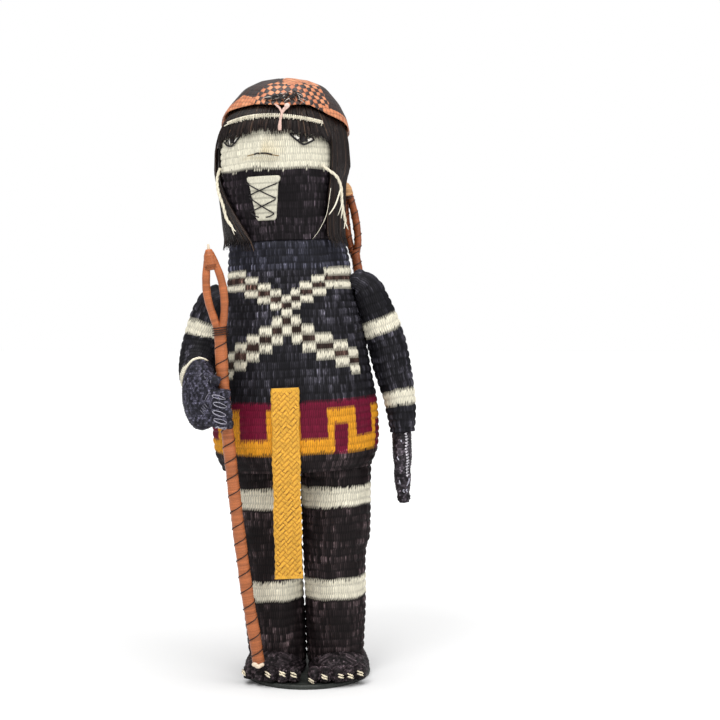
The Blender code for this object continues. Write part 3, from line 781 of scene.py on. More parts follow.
def fibre_material(
    name, roughness, shade, groove=0.4, scale=2600.0, stretch=9.0, specular=0.3, glints=0.0, knot_glint_and_shade_scale=0.0
):
    """Stitched plant fibre, coloured by the piece's tint, with painted shade between its stitches and coils
    and painted highlights on its dark stitches.
    """
    material, tree, shader = nodes_of(name)
    tint = read_attribute(tree, "tint", "Color")
    parts = node(tree, "ShaderNodeSeparateColor", {"Color": read_attribute(tree, "fibre", "Color")})
    ridge, coil, chance = parts.outputs[0], parts.outputs[1], parts.outputs[2]
    fine = streaks(tree, scale, stretch)
    # Pale fibre gets less painted shade in its grooves, and dark stitches get painted highlights here and
    # there
    value = node(tree, "ShaderNodeSeparateColor", {"Color": tint}, mode="HSV").outputs[2]
    pale = spread(tree, value, 0.03, 0.14, 0.0, 1.0)
    glint = times(tree, maths(tree, "POWER", chance, 2.2), spread(tree, pale, 0.0, 1.0, glints, 0.0))
    painted_glint_fleck = spread(tree, streaks(tree, 620.0, 3.2, 2.0), 0.5, 0.66, 0.0, 1.0)
    painted_glint_fleck = times(tree, painted_glint_fleck, times(tree, ridge, coil))
    glint = times(tree, glint, maths(tree, "ADD", painted_glint_fleck, 0.25))
    # groove and shade set how dark the painted shade is in the grooves between coils and between stitches
    painted_groove_shade = spread(tree, pale, 0.0, 1.0, groove, 0.82)
    painted_stitch_gap_shade = spread(tree, pale, 0.0, 1.0, shade, 0.5 + shade / 2)
    factor = times(
        tree,
        spread(tree, coil, 0.0, 0.75, painted_groove_shade, 1.0),
        spread(tree, ridge, 0.0, 0.8, painted_stitch_gap_shade, 1.1),
        spread(tree, chance, 0.0, 1.0, 0.85, 1.12),
        maths(tree, "ADD", glint, 1.0),
        spread(tree, fine, 0.3, 0.7, 0.75, 1.25),
    )
    # Painted highlights on the knots, and painted shade between them
    if knot_glint_and_shade_scale:
        knot_glint_and_shade = node(tree, "ShaderNodeTexVoronoi", {"Scale": knot_glint_and_shade_scale}).outputs["Distance"]
        factor = times(tree, factor, spread(tree, knot_glint_and_shade, 0.1, 0.6, 2.6, 0.35))
    paint(tree, shader, tint, factor)
    rough = spread(tree, fine, 0.3, 0.7, roughness - 0.1, roughness + 0.12)
    tree.links.new(rough, shader.inputs["Roughness"])
    shader.inputs["Specular IOR Level"].default_value = specular
    raise_bumps(tree, shader, fine, 0.25, 0.0003)
    return material


def head_form():
    """The head's table on a fine, softened ladder of heights."""
    heights = np.linspace(HEAD[0][0], HEAD[-1][0], 471)
    columns = read_table(HEAD, heights)
    window = np.hanning(17) / np.hanning(17).sum()
    softer = [np.convolve(np.pad(c, 8, mode="edge"), window, mode="valid") for c in columns]
    fade = np.clip((399.0 - heights) / 6, 0, 1)
    return heights, [c * (1 - fade) + s * fade for c, s in zip(columns, softer)]


HEAD_HEIGHTS, HEAD_COLUMNS = head_form()


def skin(bearing, height, out):
    """Points of the head's smooth form, from bearings in degrees, heights and distances out from it."""
    turn, height, out = np.broadcast_arrays(np.radians(bearing), np.asarray(height, float), out)
    middle, wide, deep = (np.interp(height, HEAD_HEIGHTS, column) for column in HEAD_COLUMNS)
    above = np.interp(height + 0.7, HEAD_HEIGHTS, HEAD_COLUMNS[1])
    below = np.interp(height - 0.7, HEAD_HEIGHTS, HEAD_COLUMNS[1])
    normal = np.stack([np.sin(turn) * deep, -np.cos(turn) * wide, 0 * turn], axis=-1)
    normal /= np.linalg.norm(normal, axis=-1)[..., None]
    normal[..., 2] = np.clip((below - above) / 1.4, -0.8, 30)
    normal /= np.linalg.norm(normal, axis=-1)[..., None]
    point = np.stack([middle + np.sin(turn) * wide, -np.cos(turn) * deep, height], axis=-1)
    return point + normal * out[..., None]


def on_body(places, out, count):
    """A smooth path over the head's own solid, nose and all, through (bearing, height) places."""
    surface = surface_of("woven_body")
    line = smooth_path([(b, z, 0.0) for b, z in places], count)
    path = []
    for bearing, z, _ in line:
        way = np.array((sin(radians(bearing)), -cos(radians(bearing)), 0.0))
        centre = np.array((body_middle(z), 0.0, z))
        path.append(centre + way * (cast(surface, centre, way) + out))
    return np.array(path)


def skin_path(places, out, count):
    """A smooth path of that many points over the head, through (bearing, height) places."""
    bearings, heights = np.array(places).T
    return smooth_path(skin(bearings, heights, out), count)


def rim_height(bearing):
    """The height of the cap's rim at a bearing."""
    return on_line(CAP_RIM, bearing)


def cord_height(bearing):
    """The height of the cord across the fringe at a bearing."""
    return 376.6 - 3.1 * ((bearing + 16) / 45) ** 2


HAIR_DARK = linear(26, 19, 18)


def hair_tint(rng):
    """A strand's own colour: mostly dark, with a few light-brown ones."""
    lot = rng.random()
    if lot < 0.03:
        return np.array(linear(96, 76, 62))
    if lot < 0.18:
        return np.array(linear(56, 42, 36))
    return np.array(HAIR_DARK) * rng.uniform(0.6, 1.5)


def hair_thins(bearing, height):
    """The hair lies closer to the head on the doll's left, in front of the back staff."""
    beside = np.clip((bearing - 52) / 10, 0, 1) * np.clip((125 - bearing) / 20, 0, 1)
    return 1 - 0.7 * beside * np.clip((346 - height) / 8, 0, 1)


def add_hair_shell(shape):
    """The dark shell under the hair: a ring over the brow and the crown, and a drape round the back."""
    bearings = np.linspace(-180, 180, 97)[:-1]
    over_brow = (bearings > -75) & (bearings < 54)
    foot = np.where(over_brow, on_line(FRINGE_FOOT, bearings) + 2.5, 362.0)
    levels = np.concatenate([np.linspace(0, 1, 8), np.linspace(1, 0, 8)])
    outs = np.repeat((3.2, 0.9), 8)
    heights = foot[None] + (390.0 - foot[None]) * levels[:, None]
    shape.add_ring(skin(bearings[None], heights, outs[:, None]), HAIR_DARK)
    ladder = np.linspace(299.5, 372, 26)
    right, left = read_table(HAIR_EDGES, ladder)
    share = np.concatenate([np.linspace(0, 1, 64), np.linspace(1, 0, 64)])
    around = (left + 1.5)[:, None] + (357 + right - left)[:, None] * share[None]
    out = np.repeat((2.9, 0.9), 64)[None] * hair_thins(around, ladder[:, None])
    shape.add_grid(skin(around, ladder[:, None], out), HAIR_DARK)


def add_fringe(shape, rng):
    """The fringe's strands, from under the cap's rim to its uneven foot, swept out at both ends."""
    steps = np.linspace(0, 1, 7)
    for bearing in np.linspace(-74, 56, FRINGE_STRANDS):
        bearing = bearing + rng.normal(0, 0.7)
        sweep = 0.3 * max(bearing - 12, 0) - 0.10 * max(-20 - bearing, 0) + rng.normal(0, 1.0)
        top = rim_height(bearing) + 3.0
        end = min(bearing + sweep, 57.0)
        foot = float(on_line(FRINGE_FOOT, end)) + rng.normal(-0.2, 0.9)
        outs = (3.7, 3.9, 3.8, rng.uniform(2.2, 3.6))
        out = np.interp(steps, (0, 0.35, 0.8, 1), outs) + rng.uniform(-0.35, 0.25)
        path = skin(bearing + (end - bearing) * steps**1.4, top + (foot - top) * steps, out)
        width = rng.uniform(0.34, 0.62) * np.interp(steps, (0, 0.6, 1), (0.8, 1.0, 0.35))
        shape.add_tube(path, width, 3, hair_tint(rng), (1, 1, rng.random()))


def add_long_hair(shape, rng):
    """The long strands, from one side of the face round the back to the other as share goes from 0 to 1."""
    steps = np.linspace(0, 1, 14)
    for share in np.linspace(0, 1, LONG_STRANDS):
        share = min(max(share + rng.normal(0, 0.0012), 0.0), 1.0)
        edge = min(share, 1 - share)
        top = 381.0 if edge > 0.06 else rng.uniform(366, 380)
        end = rng.uniform(292.0, 300.0) if edge > 0.05 else rng.uniform(290.0, 297.0)
        heights = top + (end - top) * steps
        right, left = read_table(HAIR_EDGES, heights)
        wander = rng.normal(0, 0.8) * steps + rng.normal(0, 0.5) * np.sin(steps * pi)
        around = left + (360 + right - left) * share + wander
        out = np.interp(heights, (290, 300, 318, 330, 345, 362, 381), (4.2, 3.9, 3.3, 3.2, 4.3, 4.3, 3.6))
        out = out * hair_thins(around, heights)
        path = skin(around, heights, out + rng.uniform(-0.5, 0.35) + 0.5 * (edge < 0.03) * steps)
        width = rng.uniform(0.42, 0.7) * np.interp(steps, (0, 0.8, 1), (1.0, 0.9, 0.3))
        shape.add_tube(path, width, 3, hair_tint(rng), (1, 1, rng.random()))


def make_hair(material):
    """The hair's dark shell, and the strands of its fringe, sides and back over it."""
    rng = np.random.default_rng(41)
    shape = Shape()
    add_hair_shell(shape)
    add_fringe(shape, rng)
    add_long_hair(shape, rng)
    piece("hair_strands", shape, material, ["hair"])


PLAIT_WIDE = 4.6
PLAIT_LONG = 5.6


def cap_kind(x, y, bearing, height):
    """How much of each place on the cap is checked, and how much is dark. Its front is towards -y."""
    behind = y > np.interp(x, (-40, -26, -18, -12.3, -8, 0.5), (-14, -20, -30.5, -27, -23.8, -20.4))
    dark = (x < 0.5) & behind & (y < 15)
    dark |= (x > 22) & (y > np.interp(x, (22, 30, 40), (-6, -22, -29))) & (y < 8)
    dark |= (x > 12) & (y > 14) & (y < 24)
    places, edges = (0.5, 3.7, 8.1, 11, 15.1, 24.9, 30), (-20.4, -27.0, -28.0, -26.0, -19.5, -13.0, -7.0)
    stripe_edge = np.interp(x, places, edges)
    stripe = (x >= 0.5) & (x < 30) & (y > stripe_edge) & (y < 14)
    checked = (x > -18) & ~stripe & ((y < 0) | (y > 24))
    above_rim = height - rim_height(bearing)
    plain_rim = (above_rim < 4.5) & ((bearing < -26) | (bearing > 44))
    return (checked & ~dark & ~plain_rim).astype(float), (dark & ~plain_rim).astype(float)


def make_cap(material):
    """The plaited cap: a closed dome with a thin lining, whose checks are worked out in its plan."""
    columns = 224
    bearings = np.arange(columns) * 360 / columns - 180
    steps = np.linspace(0, 1, 44)
    lining = steps[::-4]
    inner = len(lining)
    rises = np.sin(np.concatenate([lining, steps]) * pi / 2)
    outs = np.repeat((CAP_LINING_OUT, CAP_PLAIT_OUT), (inner, len(steps)))
    rim = rim_height(bearings)[None]
    heights = rim + (CAP_TOP - rim) * rises[:, None]
    rng = np.random.default_rng(51)
    lumps = noise_over(np.arange(len(rises)) * 0.12, np.radians(bearings), 6, 52) * 0.28
    outs = outs[:, None] + lumps * (np.arange(len(rises)) >= inner)[:, None]
    # The rim is turned in a little and uneven
    outs[inner : inner + 3] -= 0.35 * np.array([1.0, 0.4, 0.1])[:, None] + 0.15 * rng.random((1, columns))
    points = skin(bearings[None], heights, outs)
    gaps = np.linalg.norm(np.diff(points[inner:][::-1], axis=0), axis=2)
    arc = np.concatenate([np.zeros((1, columns)), np.cumsum(gaps, axis=0)])[::-1]
    arc = np.concatenate([np.repeat(arc[:1], inner, axis=0), arc])
    turn = np.radians(bearings)[None]
    east, south = arc * np.sin(turn), arc * np.cos(turn)
    first = east / PLAIT_WIDE + south / PLAIT_LONG
    second = east / PLAIT_WIDE - south / PLAIT_LONG
    checked, dark = cap_kind(points[..., 0], points[..., 1], bearings[None] + 0 * arc, heights + 0 * arc)
    shape = Shape()
    shape.add_grid(points, np.stack([checked, dark, 0 * dark], -1), np.stack([first, second, 0 * dark], -1))
    piece("plaited_cap", shape, material, ["cap"])


def make_tuft(material):
    """The loose fibres that stand from the cap's front, over the tie."""
    rng = np.random.default_rng(61)
    shape = Shape()
    steps = np.linspace(0, 1, 5)
    for _ in range(TUFT_FIBRES):
        bearing = rng.uniform(-9, 20)
        height = 384.5 + 6.5 * rng.random() * np.interp(bearing, (-9, 4, 14, 24), (0.3, 0.6, 1.0, 0.5))
        lean = rng.uniform(-1, 1) * 6 + np.interp(bearing, (-9, 8, 24), (6, 2, -6))
        reach = rng.uniform(2.5, 4.5)
        drop = np.interp(bearing, (-9, 8, 24), (0.0, -0.4, -0.8)) * reach
        out = 7.6 + 0.7 * np.sin(steps * pi) + rng.uniform(0, 0.8)
        path = skin(bearing - lean * steps, height + drop * steps, out)
        # Some fibres are pale: painted highlights, for the white glints along the tuft
        pale = rng.random() < 0.18
        tint = linear(176, 168, 160) if pale else np.array(linear(30, 26, 26)) * rng.uniform(0.6, 1.6)
        shape.add_tube(path, rng.uniform(0.16, 0.34) * np.array([1, 1, 1, 0.8, 0.4]), 4, tint)
    piece("cap_tuft", shape, material)


def make_body(material):
    """The torso and the head, which share the body's node."""
    torso = Shape()
    weave(
        torso, "woven_body", (BODY_ROWS[0][0], NECK_ROW), body_centre, sideways, forwards, BODY_STITCHES,
        torso_colour, 11, (-0.25, 0.33),
    )
    piece("torso_weave", torso, material, ["woven_body"])
    head = Shape()
    # The face's colour gets painted shade beside the nose and under it
    weave(
        head, "woven_body", (NECK_ROW, CROWN_ROW), body_centre, sideways, forwards, BODY_STITCHES,
        head_colour, 12, (-0.3, 0.3), tone_of=painted_nose_shade,
    )
    # The crown is plain, because the cap covers it
    bearings = np.arange(96) * 3.75 - 180
    heights = np.concatenate([np.linspace(373.0, 396.0, 12), np.linspace(397.0, 400.4, 8)])
    head.add_grid(skin(bearings[None], heights[:, None], -0.25), MASK_BLACK)
    piece("head_weave", head, material, ["woven_body"])


def make_legs(material):
    """The two legs, with two cream bands each."""

    def colour(row, bearing):
        cream = ((row >= 0) & (row < 3)) | ((row >= 12) & (row < 15))
        return banded((BROWN_BLACK, CREAM), cream.astype(int))

    rows = (LEG_FOOT - LEG_BAND_FOOT) / LEG_ROW, (LEG_TOP - LEG_BAND_FOOT) / LEG_ROW
    for side, name in ((1, "left_leg"), (-1, "right_leg")):

        def centre(row):
            return (side * LEG_MIDDLE, 0.0, LEG_BAND_FOOT + LEG_ROW * row)

        def depth(row, bearing):
            """The legs nearly touch along their inner sides, most of all above the feet."""
            inward = np.maximum(0, -side * np.sin(np.radians(bearing))) ** 6
            return np.interp(row, (-7, -2, 0, 6, 9), (1.6, 1.4, 0.5, 0.5, 0.0)) * inward

        shape = Shape()
        weave(shape, name, rows, centre, sideways, forwards, LEG_STITCHES, colour, 20 + side, depth_of=depth)
        piece(f"{name}_weave", shape, material, [name])


def make_arm(name, line, start, bands, seed, material):
    """An arm of coils along its own line, with cream bands between rows.

    start is how far row 0 is above the first point of the line, in millimetres.
    """
    path = even_path(line, 1.0)
    across, up = across_path(path, (0.0, -1.0, 0.0))
    length = len(path) - 1.0

    def at(row, values):
        along = min(max(row * ARM_ROW - start, 0.0), length)
        i = min(int(along), len(path) - 2)
        return values[i] + (values[i + 1] - values[i]) * (along - i)

    def colour(row, bearing):
        cream = np.zeros(row.shape, int)
        for low, high in bands:
            cream |= ((row >= low) & (row < high)).astype(int)
        return banded((BLUE_BLACK, CREAM), cream)

    rows = (start + ARM_INSET) / ARM_ROW, (length + start) / ARM_ROW
    shape = Shape()
    weave(
        shape, name, rows, lambda row: at(row, path), lambda row: at(row, up), lambda row: at(row, across),
        ARM_STITCHES, colour, seed, (-0.25, 0.35),
    )
    piece(f"{name}_weave", shape, material, [name])


BLACK_THREAD = linear(24, 20, 22)
EYE_WHITE = linear(236, 232, 222)


def make_face(material):
    """The thread lines of the eyes, the whites of the eyes, and dark lines of painted shadow under the nose.
    """
    nose_shadow_tan = linear(128, 104, 62)
    lines = (
        (((-64.0, 364.5), (-61.0, 364.4), (-58.5, 365.6), (-55.0, 367.0), (-51.0, 367.6)), 0.42),
        (
            ((-64.0, 364.5), (-57.0, 362.1), (-50.0, 361.2), (-45.0, 362.6), (-41.3, 365.0), (-37.5, 367.8)),
            0.6,
        ),
        (((-56.4, 367.2), (-55.8, 364.8), (-54.0, 362.2)), 0.42),
        (((-47.0, 362.0), (-45.5, 364.4), (-42.0, 367.2)), 0.4),
        (((11.3, 366.6), (13.0, 365.0), (17.6, 362.3), (23.7, 359.4), (29.0, 360.4), (34.9, 362.4)), 0.65),
        (((11.3, 366.6), (14.0, 366.2), (18.0, 366.4)), 0.42),
        (((18.6, 361.9), (20.6, 363.6), (21.2, 366.0)), 0.4),
        (((34.9, 362.4), (33.4, 363.9), (30.2, 364.6)), 0.45),
    )
    shape = Shape()
    for places, radius in lines:
        shape.add_tube(skin_path(places, 0.95, 5 * len(places)), radius, 6, BLACK_THREAD, start=(0, 0, 1))
    for places, width in (
        (((-49.6, 367.8), (-49.0, 365.4), (-48.4, 363.2)), 1.6),
        (((22.8, 366.0), (23.2, 363.6), (23.7, 361.0)), 1.9),
        (((26.4, 364.8), (26.6, 363.0), (26.2, 361.4)), 1.2),
    ):
        shape.add_tube(skin_path(places, 0.7, 9), width, 10, BLACK_THREAD, flat=0.45, start=(1, 0, 0))
    for places, width in (
        (((-54.6, 366.2), (-53.4, 364.3), (-52.2, 362.8)), 1.0),
        (((-42.6, 366.8), (-44.0, 365.0), (-45.2, 363.8)), 0.6),
        (((15.2, 365.2), (17.4, 364.4), (19.4, 363.0)), 1.0),
        (((28.4, 361.8), (30.2, 362.5), (32.6, 363.1)), 0.95),
    ):
        shape.add_tube(skin_path(places, 0.9, 9), width, 10, EYE_WHITE, flat=0.45, start=(0, 0, 1))
    # Under the nose's edge: a thin tan line and two black ones, painted shadow
    for places, radius, tint in (
        (
            ((-30.0, 353.4), (-25.2, 353.9), (-20.0, 354.2), (-12.5, 353.8), (-6.0, 353.0), (1.0, 352.2)),
            0.3,
            nose_shadow_tan,
        ),
        (((-22.0, 354.1), (-18.0, 354.5), (-15.4, 354.0)), 0.6, BLACK_THREAD),
        (((-13.4, 354.0), (-9.0, 353.8), (-5.0, 353.0)), 0.6, BLACK_THREAD),
    ):
        shape.add_tube(on_body(places, 0.55, 5 * len(places)), radius, 6, tint, start=(0, 0, 1))
    piece("face_threads_and_nose_shadow", shape, material)


PANEL_FOOT = 310.6
PANEL_TOP = 339.6
PANEL_BEARING = -14.6
# How far the panel is from the head's middle line, and one row of its stitches
PANEL_RADIUS = 41.2
PANEL_ROW = 4.9


def make_panel(material, dark_thread):
    """The cream panel of the mouth with its rows of stitches, and the black thread laced over it."""
    levels, before, behind = 60, 44, 12
    heights = np.linspace(PANEL_FOOT, PANEL_TOP, levels)
    half = np.interp(heights, (310.6, 312.4, 335.2, 336.8, 338.6, 339.6), (6.0, 7.2, 10.0, 11.3, 11.4, 10.4))
    across = np.concatenate([np.linspace(-1, 1, before), np.linspace(1, -1, behind)])
    bearing = PANEL_BEARING + np.degrees(half[:, None] * across[None] / PANEL_RADIUS)
    rows = np.abs(np.sin((heights - PANEL_FOOT) * pi / PANEL_ROW))[:, None]
    column = np.arange(before + behind)[None]
    front = column < before
    stitches = column % 2
    edge = np.clip((1 - abs(across)) / 0.12, 0, 1)[None] ** 0.5
    uneven = np.random.default_rng(75).normal(0, 0.12, (levels, before + behind))
    raised = 0.9 + 1.75 * edge + 0.35 * rows**0.5 + 0.2 * stitches - 0.35 + uneven * edge
    out = np.where(front, raised, 0.8)
    ridge = np.where(front, stitches, 1) + 0 * rows
    coil = np.where(front, rows**0.4, 1)
    # Dotted painted shade in the grooves between the rows of stitches
    row_gap_shade = front & (rows < 0.35) & (stitches > 0) & (heights[:, None] < 337)
    tint = np.array(linear(202, 198, 180)) * np.where(row_gap_shade, 0.55, 1.0)[..., None]
    fibre = np.stack([ridge, coil, np.full(coil.shape, 0.5)], -1)
    shape = Shape()
    shape.add_grid(skin(bearing, heights[:, None], out), tint, fibre)
    piece("mouth_panel_weave", shape, material, ["mouth_panel"])
    laces = (
        ((-29.6, 335.4), (-17.5, 330.2), (-3.6, 324.8)),
        ((-1.2, 334.6), (-17.5, 330.4), (-28.0, 327.5)),
        ((-28.2, 326.1), (-16.5, 319.8), (-6.0, 314.9)),
        ((-3.8, 324.1), (-16.5, 320.0), (-28.6, 316.8)),
        ((-28.2, 316.2), (-24.5, 314.2), (-20.9, 312.9)),
        ((-6.2, 314.8), (-10.0, 313.2), (-13.9, 312.7)),
    )
    shape = Shape()
    for k, places in enumerate(laces):
        shape.add_tube(skin_path(places, 3.1 + 0.25 * (k % 2), 15), 0.42, 6, BLACK_THREAD, start=(0, 0, 1))
    piece("mouth_lacing_thread", shape, dark_thread, ["mouth_lacing"])


def make_fringe_cord(material):
    """The cream cord across the fringe, held by whip stitches with uneven ends."""
    rng = np.random.default_rng(71)
    shape = Shape()
    bearings = np.linspace(-61.0, 42.0, 120)
    width = np.interp(bearings, (-61, -47, 36, 42), (0.3, 0.6, 0.7, 0.4))
    shape.add_tube(skin(bearings, cord_height(bearings), 5.1), width, 8, CREAM, start=(0, 0, 1))
    bearing = -53.0
    while bearing < 41:
        height = float(cord_height(bearing))
        long = np.interp(bearing, (-53, -36, 41), (0.6, 1.3, 1.4)) * rng.uniform(0.6, 1.4)
        foot = (bearing + rng.normal(0, 0.25), height - long)
        places = ((bearing, height + 0.9), (bearing + 0.15, height + 0.1), foot)
        path = skin_path(places, np.array([5.5, 6.5, 4.9]), 9)
        tint = np.array(linear(224, 216, 196)) * rng.uniform(0.7, 1.08)
        shape.add_tube(path, tapering(path, (0, 0.5, 1), (0.4, 0.5, 0.28)), 6, tint)
        bearing += rng.uniform(1.6, 2.0)
    piece("fringe_whipping", shape, material, ["fringe_cord"])


def make_tie(material):
    """The pale tie over the fringe: two short ends above its knot and a tail that spreads below."""
    pink = linear(196, 164, 152)
    first_end = ((-4.4, 382.4), (-1.8, 381.2), (0.8, 379.6), (2.6, 377.4))
    second_end = ((8.8, 381.4), (7.2, 380.2), (4.8, 378.6), (3.0, 376.8))
    tail = ((3.2, 378.0), (3.0, 375.8), (2.4, 372.6), (2.2, 369.6), (2.2, 367.4))
    shape = Shape()
    for places, radii, out in (
        (first_end, (0.3, 0.8, 0.75, 0.7), 7.4),
        (second_end, (0.9, 1.4, 1.2, 0.8), 7.6),
        (tail, (0.8, 0.85, 0.75, 1.25, 1.1), 7.4),
    ):
        shares = np.linspace(0, 1, len(places))
        path = skin_path(places, out - 0.9 * shares, 25)
        ridges = 1 + 0.05 * np.sin(np.arange(25) * 1.9)
        shape.add_tube(path, tapering(path, shares, radii) * ridges, 12, pink, flat=0.7, start=(1, 0, 0))
    shape.add_ball(skin(7.4, 380.4, 8.4), (1.9, 1.3, 1.6), linear(212, 186, 174))
    piece("forehead_knot", shape, material, ["forehead_tie"])


def two_ply(path, radius, pitch):
    """Rings of points round a path for two strands twisted together, and how far each is up on a strand."""
    ring, turns = rings_round(path, 12)
    lobes = abs(np.cos(turns[None] - pi * lengths_along(path)[:, None] / pitch))
    reach = radius * (0.70 + 0.30 * lobes)
    return path[:, None] + ring * reach[..., None], lobes


def make_ear_cords(material):
    """The two cords beside the face, with their frayed ends and a loose fibre."""
    frays = Shape()
    for name, line in (("left_ear_cord", LEFT_EAR_CORD), ("right_ear_cord", RIGHT_EAR_CORD)):
        places = [(b, z) for b, z, _ in line]
        coarse = skin_path(places, np.array([out for *_, out in line]), 11)
        path = even_path(coarse, 0.55)
        points, lobes = two_ply(path, EAR_CORD_DIAMETER / 2, 4.2)
        fibre = np.stack([lobes, lobes**0.5, 0.5 + 0 * lobes], -1)
        shape = Shape()
        shape.add_grid(points, linear(216, 208, 186), fibre)
        cord = piece(f"{name}_twist", shape, material, [name])
    for places, out, radius in (
        (((56.5, 331.0), (49.0, 320.0), (42.4, 313.4)), (7.0, 7.4, 7.0), 0.55),
        (((58.0, 325.0), (57.0, 318.0), (55.4, 311.0)), (7.0, 8.0, 8.0), 0.5),
        (((57.6, 327.0), (55.0, 319.5), (51.0, 313.0)), (7.6, 8.4, 8.2), 0.35),
        (((63.4, 309.6), (64.6, 306.6), (66.8, 303.8)), (7.0, 7.4, 8.0), 0.45),
        (((63.4, 310.0), (63.0, 306.8), (62.4, 304.2)), (7.0, 6.8, 6.6), 0.4),
        (((-48.6, 309.8), (-45.6, 306.2), (-43.4, 304.8)), (7.0, 7.2, 7.0), 0.45),
        (((-48.8, 309.8), (-48.0, 305.8), (-46.6, 302.6)), (7.0, 6.6, 6.4), 0.4),
        (((47.2, 331.0), (42.8, 314.0), (34.0, 303.0), (27.0, 296.4)), (4.6, 4.2, 4.0, 4.2), 0.17),
    ):
        path = skin_path(places, np.array(out), 14)
        frays.add_tube(path, radius * tapering(path, (0, 0.6, 1), (1, 0.9, 0.4)), 6, CREAM)
    piece("cord_frays", frays, material)


def sash_front(middle, heights):
    """How deep the front of the sash's solid is down its middle line, evened out."""
    surface = surface_of("sash")
    depths = []
    for x, z in zip(middle, heights):
        place, _ = from_front(surface, x, min(max(z, SASH_FOOT + 1), SASH_TOP - 1))
        depths.append(place.y if place else depths[-1])
    return softened(np.array(depths), 12, False)


def make_sash(material):
    """The yellow band, plaited in both diagonals, with scalloped edges and a turned top hem."""
    rows, before, behind = 290, 52, 10
    heights = np.linspace(SASH_TOP, SASH_FOOT, rows)
    middle = np.interp(heights, (SASH_FOOT, SASH_TOP), (-6.7, -4.2))
    depths = sash_front(middle, heights)[:, None]
    along = SASH_TOP - heights
    across = np.concatenate([np.linspace(-1, 1, before), np.linspace(1, -1, behind)])
    on_front = (np.arange(before + behind) < before)[None]
    scallop = 0.4 * np.abs(np.sin(along * pi / 5.2))
    scallop = scallop + 0.25 * np.sin(along * 0.16) + 0.15 * np.sin(along * 0.41)
    half = SASH_WIDTH / 2 - 0.35 + scallop
    x = half[:, None] * across[None]
    # Strips run both ways across, and each place is on the one that passes over
    bend = 0.5 * np.sin(along * 0.13)[:, None] + 0.35 * np.sin(x * 0.5 + along[:, None] * 0.31)
    first, second = (x + along[:, None] + bend) / PLY, (x - along[:, None] * 1.05 + bend) / PLY
    over = (np.floor(first) + np.floor(second)) % 3 < 1
    a, b = first % 1, second % 1
    near = np.where(over, np.minimum(b, 1 - b), np.minimum(a, 1 - a))
    puff = np.where(over, np.sin(pi * b), np.sin(pi * a)) ** 0.5
    relief = 0.6 * puff * np.clip(near / 0.12, 0.3, 1)
    edge = np.clip((1 - abs(across[None])) / 0.1, 0, 1) ** 0.5
    hem = ((along < 2.2) | (along > along[-1] - 2.0))[:, None]
    relief = np.where(hem, 0.5, relief)
    y = np.where(on_front, depths + 0.45 * (1 - edge) * 2 - relief * edge, depths + 2.0)
    points = np.stack([middle[:, None] + x, y, heights[:, None] + 0 * x], -1)
    strips = 120
    lot = np.random.default_rng(81).random((strips, strips))
    chance = lot[np.floor(first).astype(int) % strips, np.floor(second).astype(int) % strips]
    # The strips' edges are a deeper yellow and the few slits between them dark: painted shade; their puffed
    # middles are painted lighter
    bright, deep, slit_shade_brown = (np.array(linear(*c)) for c in ((204, 152, 50), (178, 122, 34), (98, 60, 18)))
    painted_light_share = np.where(on_front, np.clip((near - 0.04) / (0.05 + 0.2 * chance), 0, 1) * (0.5 + 0.5 * puff), 0.7)
    painted_light_share = np.where(hem | (abs(across[None]) > 0.9), np.maximum(painted_light_share, 0.85), painted_light_share)
    tint = deep + (bright - deep) * painted_light_share[..., None]
    slit_shade_places = on_front & (near < 0.14) & (chance > 0.86) & (abs(across[None]) < 0.85) & ~hem
    tint = np.where(slit_shade_places[..., None], slit_shade_brown, tint)
    shape = Shape()
    shape.add_grid(points, tint, np.stack([painted_light_share, 0.4 + 0.6 * painted_light_share, chance], -1))
    band = piece("sash_plait", shape, material, ["sash"])


def ring_wound(shape, path, radius, pitch, tint, seed, sides=18, taper=1.0):
    """A stick or a strand wound with fibre: its rings swell a little and vary in colour."""
    rng = np.random.default_rng(seed)
    length = lengths_along(path)
    turn = length / pitch
    swell = np.abs(np.sin(pi * turn)) ** 0.5
    lot = rng.uniform(0.8, 1.15, int(turn[-1]) + 2)
    wave = 1 + 0.03 * np.sin(length * 0.21 + seed) + 0.02 * np.sin(length * 0.67)
    reach = radius * (0.955 + 0.05 * swell) * wave * taper
    colours = np.array(tint)[None] * lot[turn.astype(int)][:, None]
    fibre = np.stack([0.7 + 0.3 * swell, swell, rng.random(len(path))], -1)
    shape.add_tube(path, reach, sides, colours, fibre)


def thread_round(shape, path, radius, start, end, pitch, thick, tint, phase=0.0):
    """A thread wound round a path between two shares of its length."""
    across, up = across_path(path)
    length = lengths_along(path)
    along = np.arange(start * length[-1], end * length[-1], pitch / 26)
    at, side, rise = (read_path(values, length, along) for values in (path, across, up))
    turn = (2 * pi * along / pitch + phase)[:, None]
    shape.add_tube(at + radius * (np.cos(turn) * side + np.sin(turn) * rise), thick, 6, tint)


def add_tip(shape, line, radius, tint):
    """The bare end of a stick, down to a radius."""
    tip = even_path(line, 0.5)
    shape.add_tube(tip, tapering(tip, (0, 1), (1.5, radius)), 10, tint)


STAFF_TAN = linear(160, 92, 54)
# The back staff's tan is darker than the front one's: painted shade on the same fibre
BACK_STAFF_SHADED_TAN = linear(134, 72, 40)
STAFF_THREAD = linear(52, 28, 18)


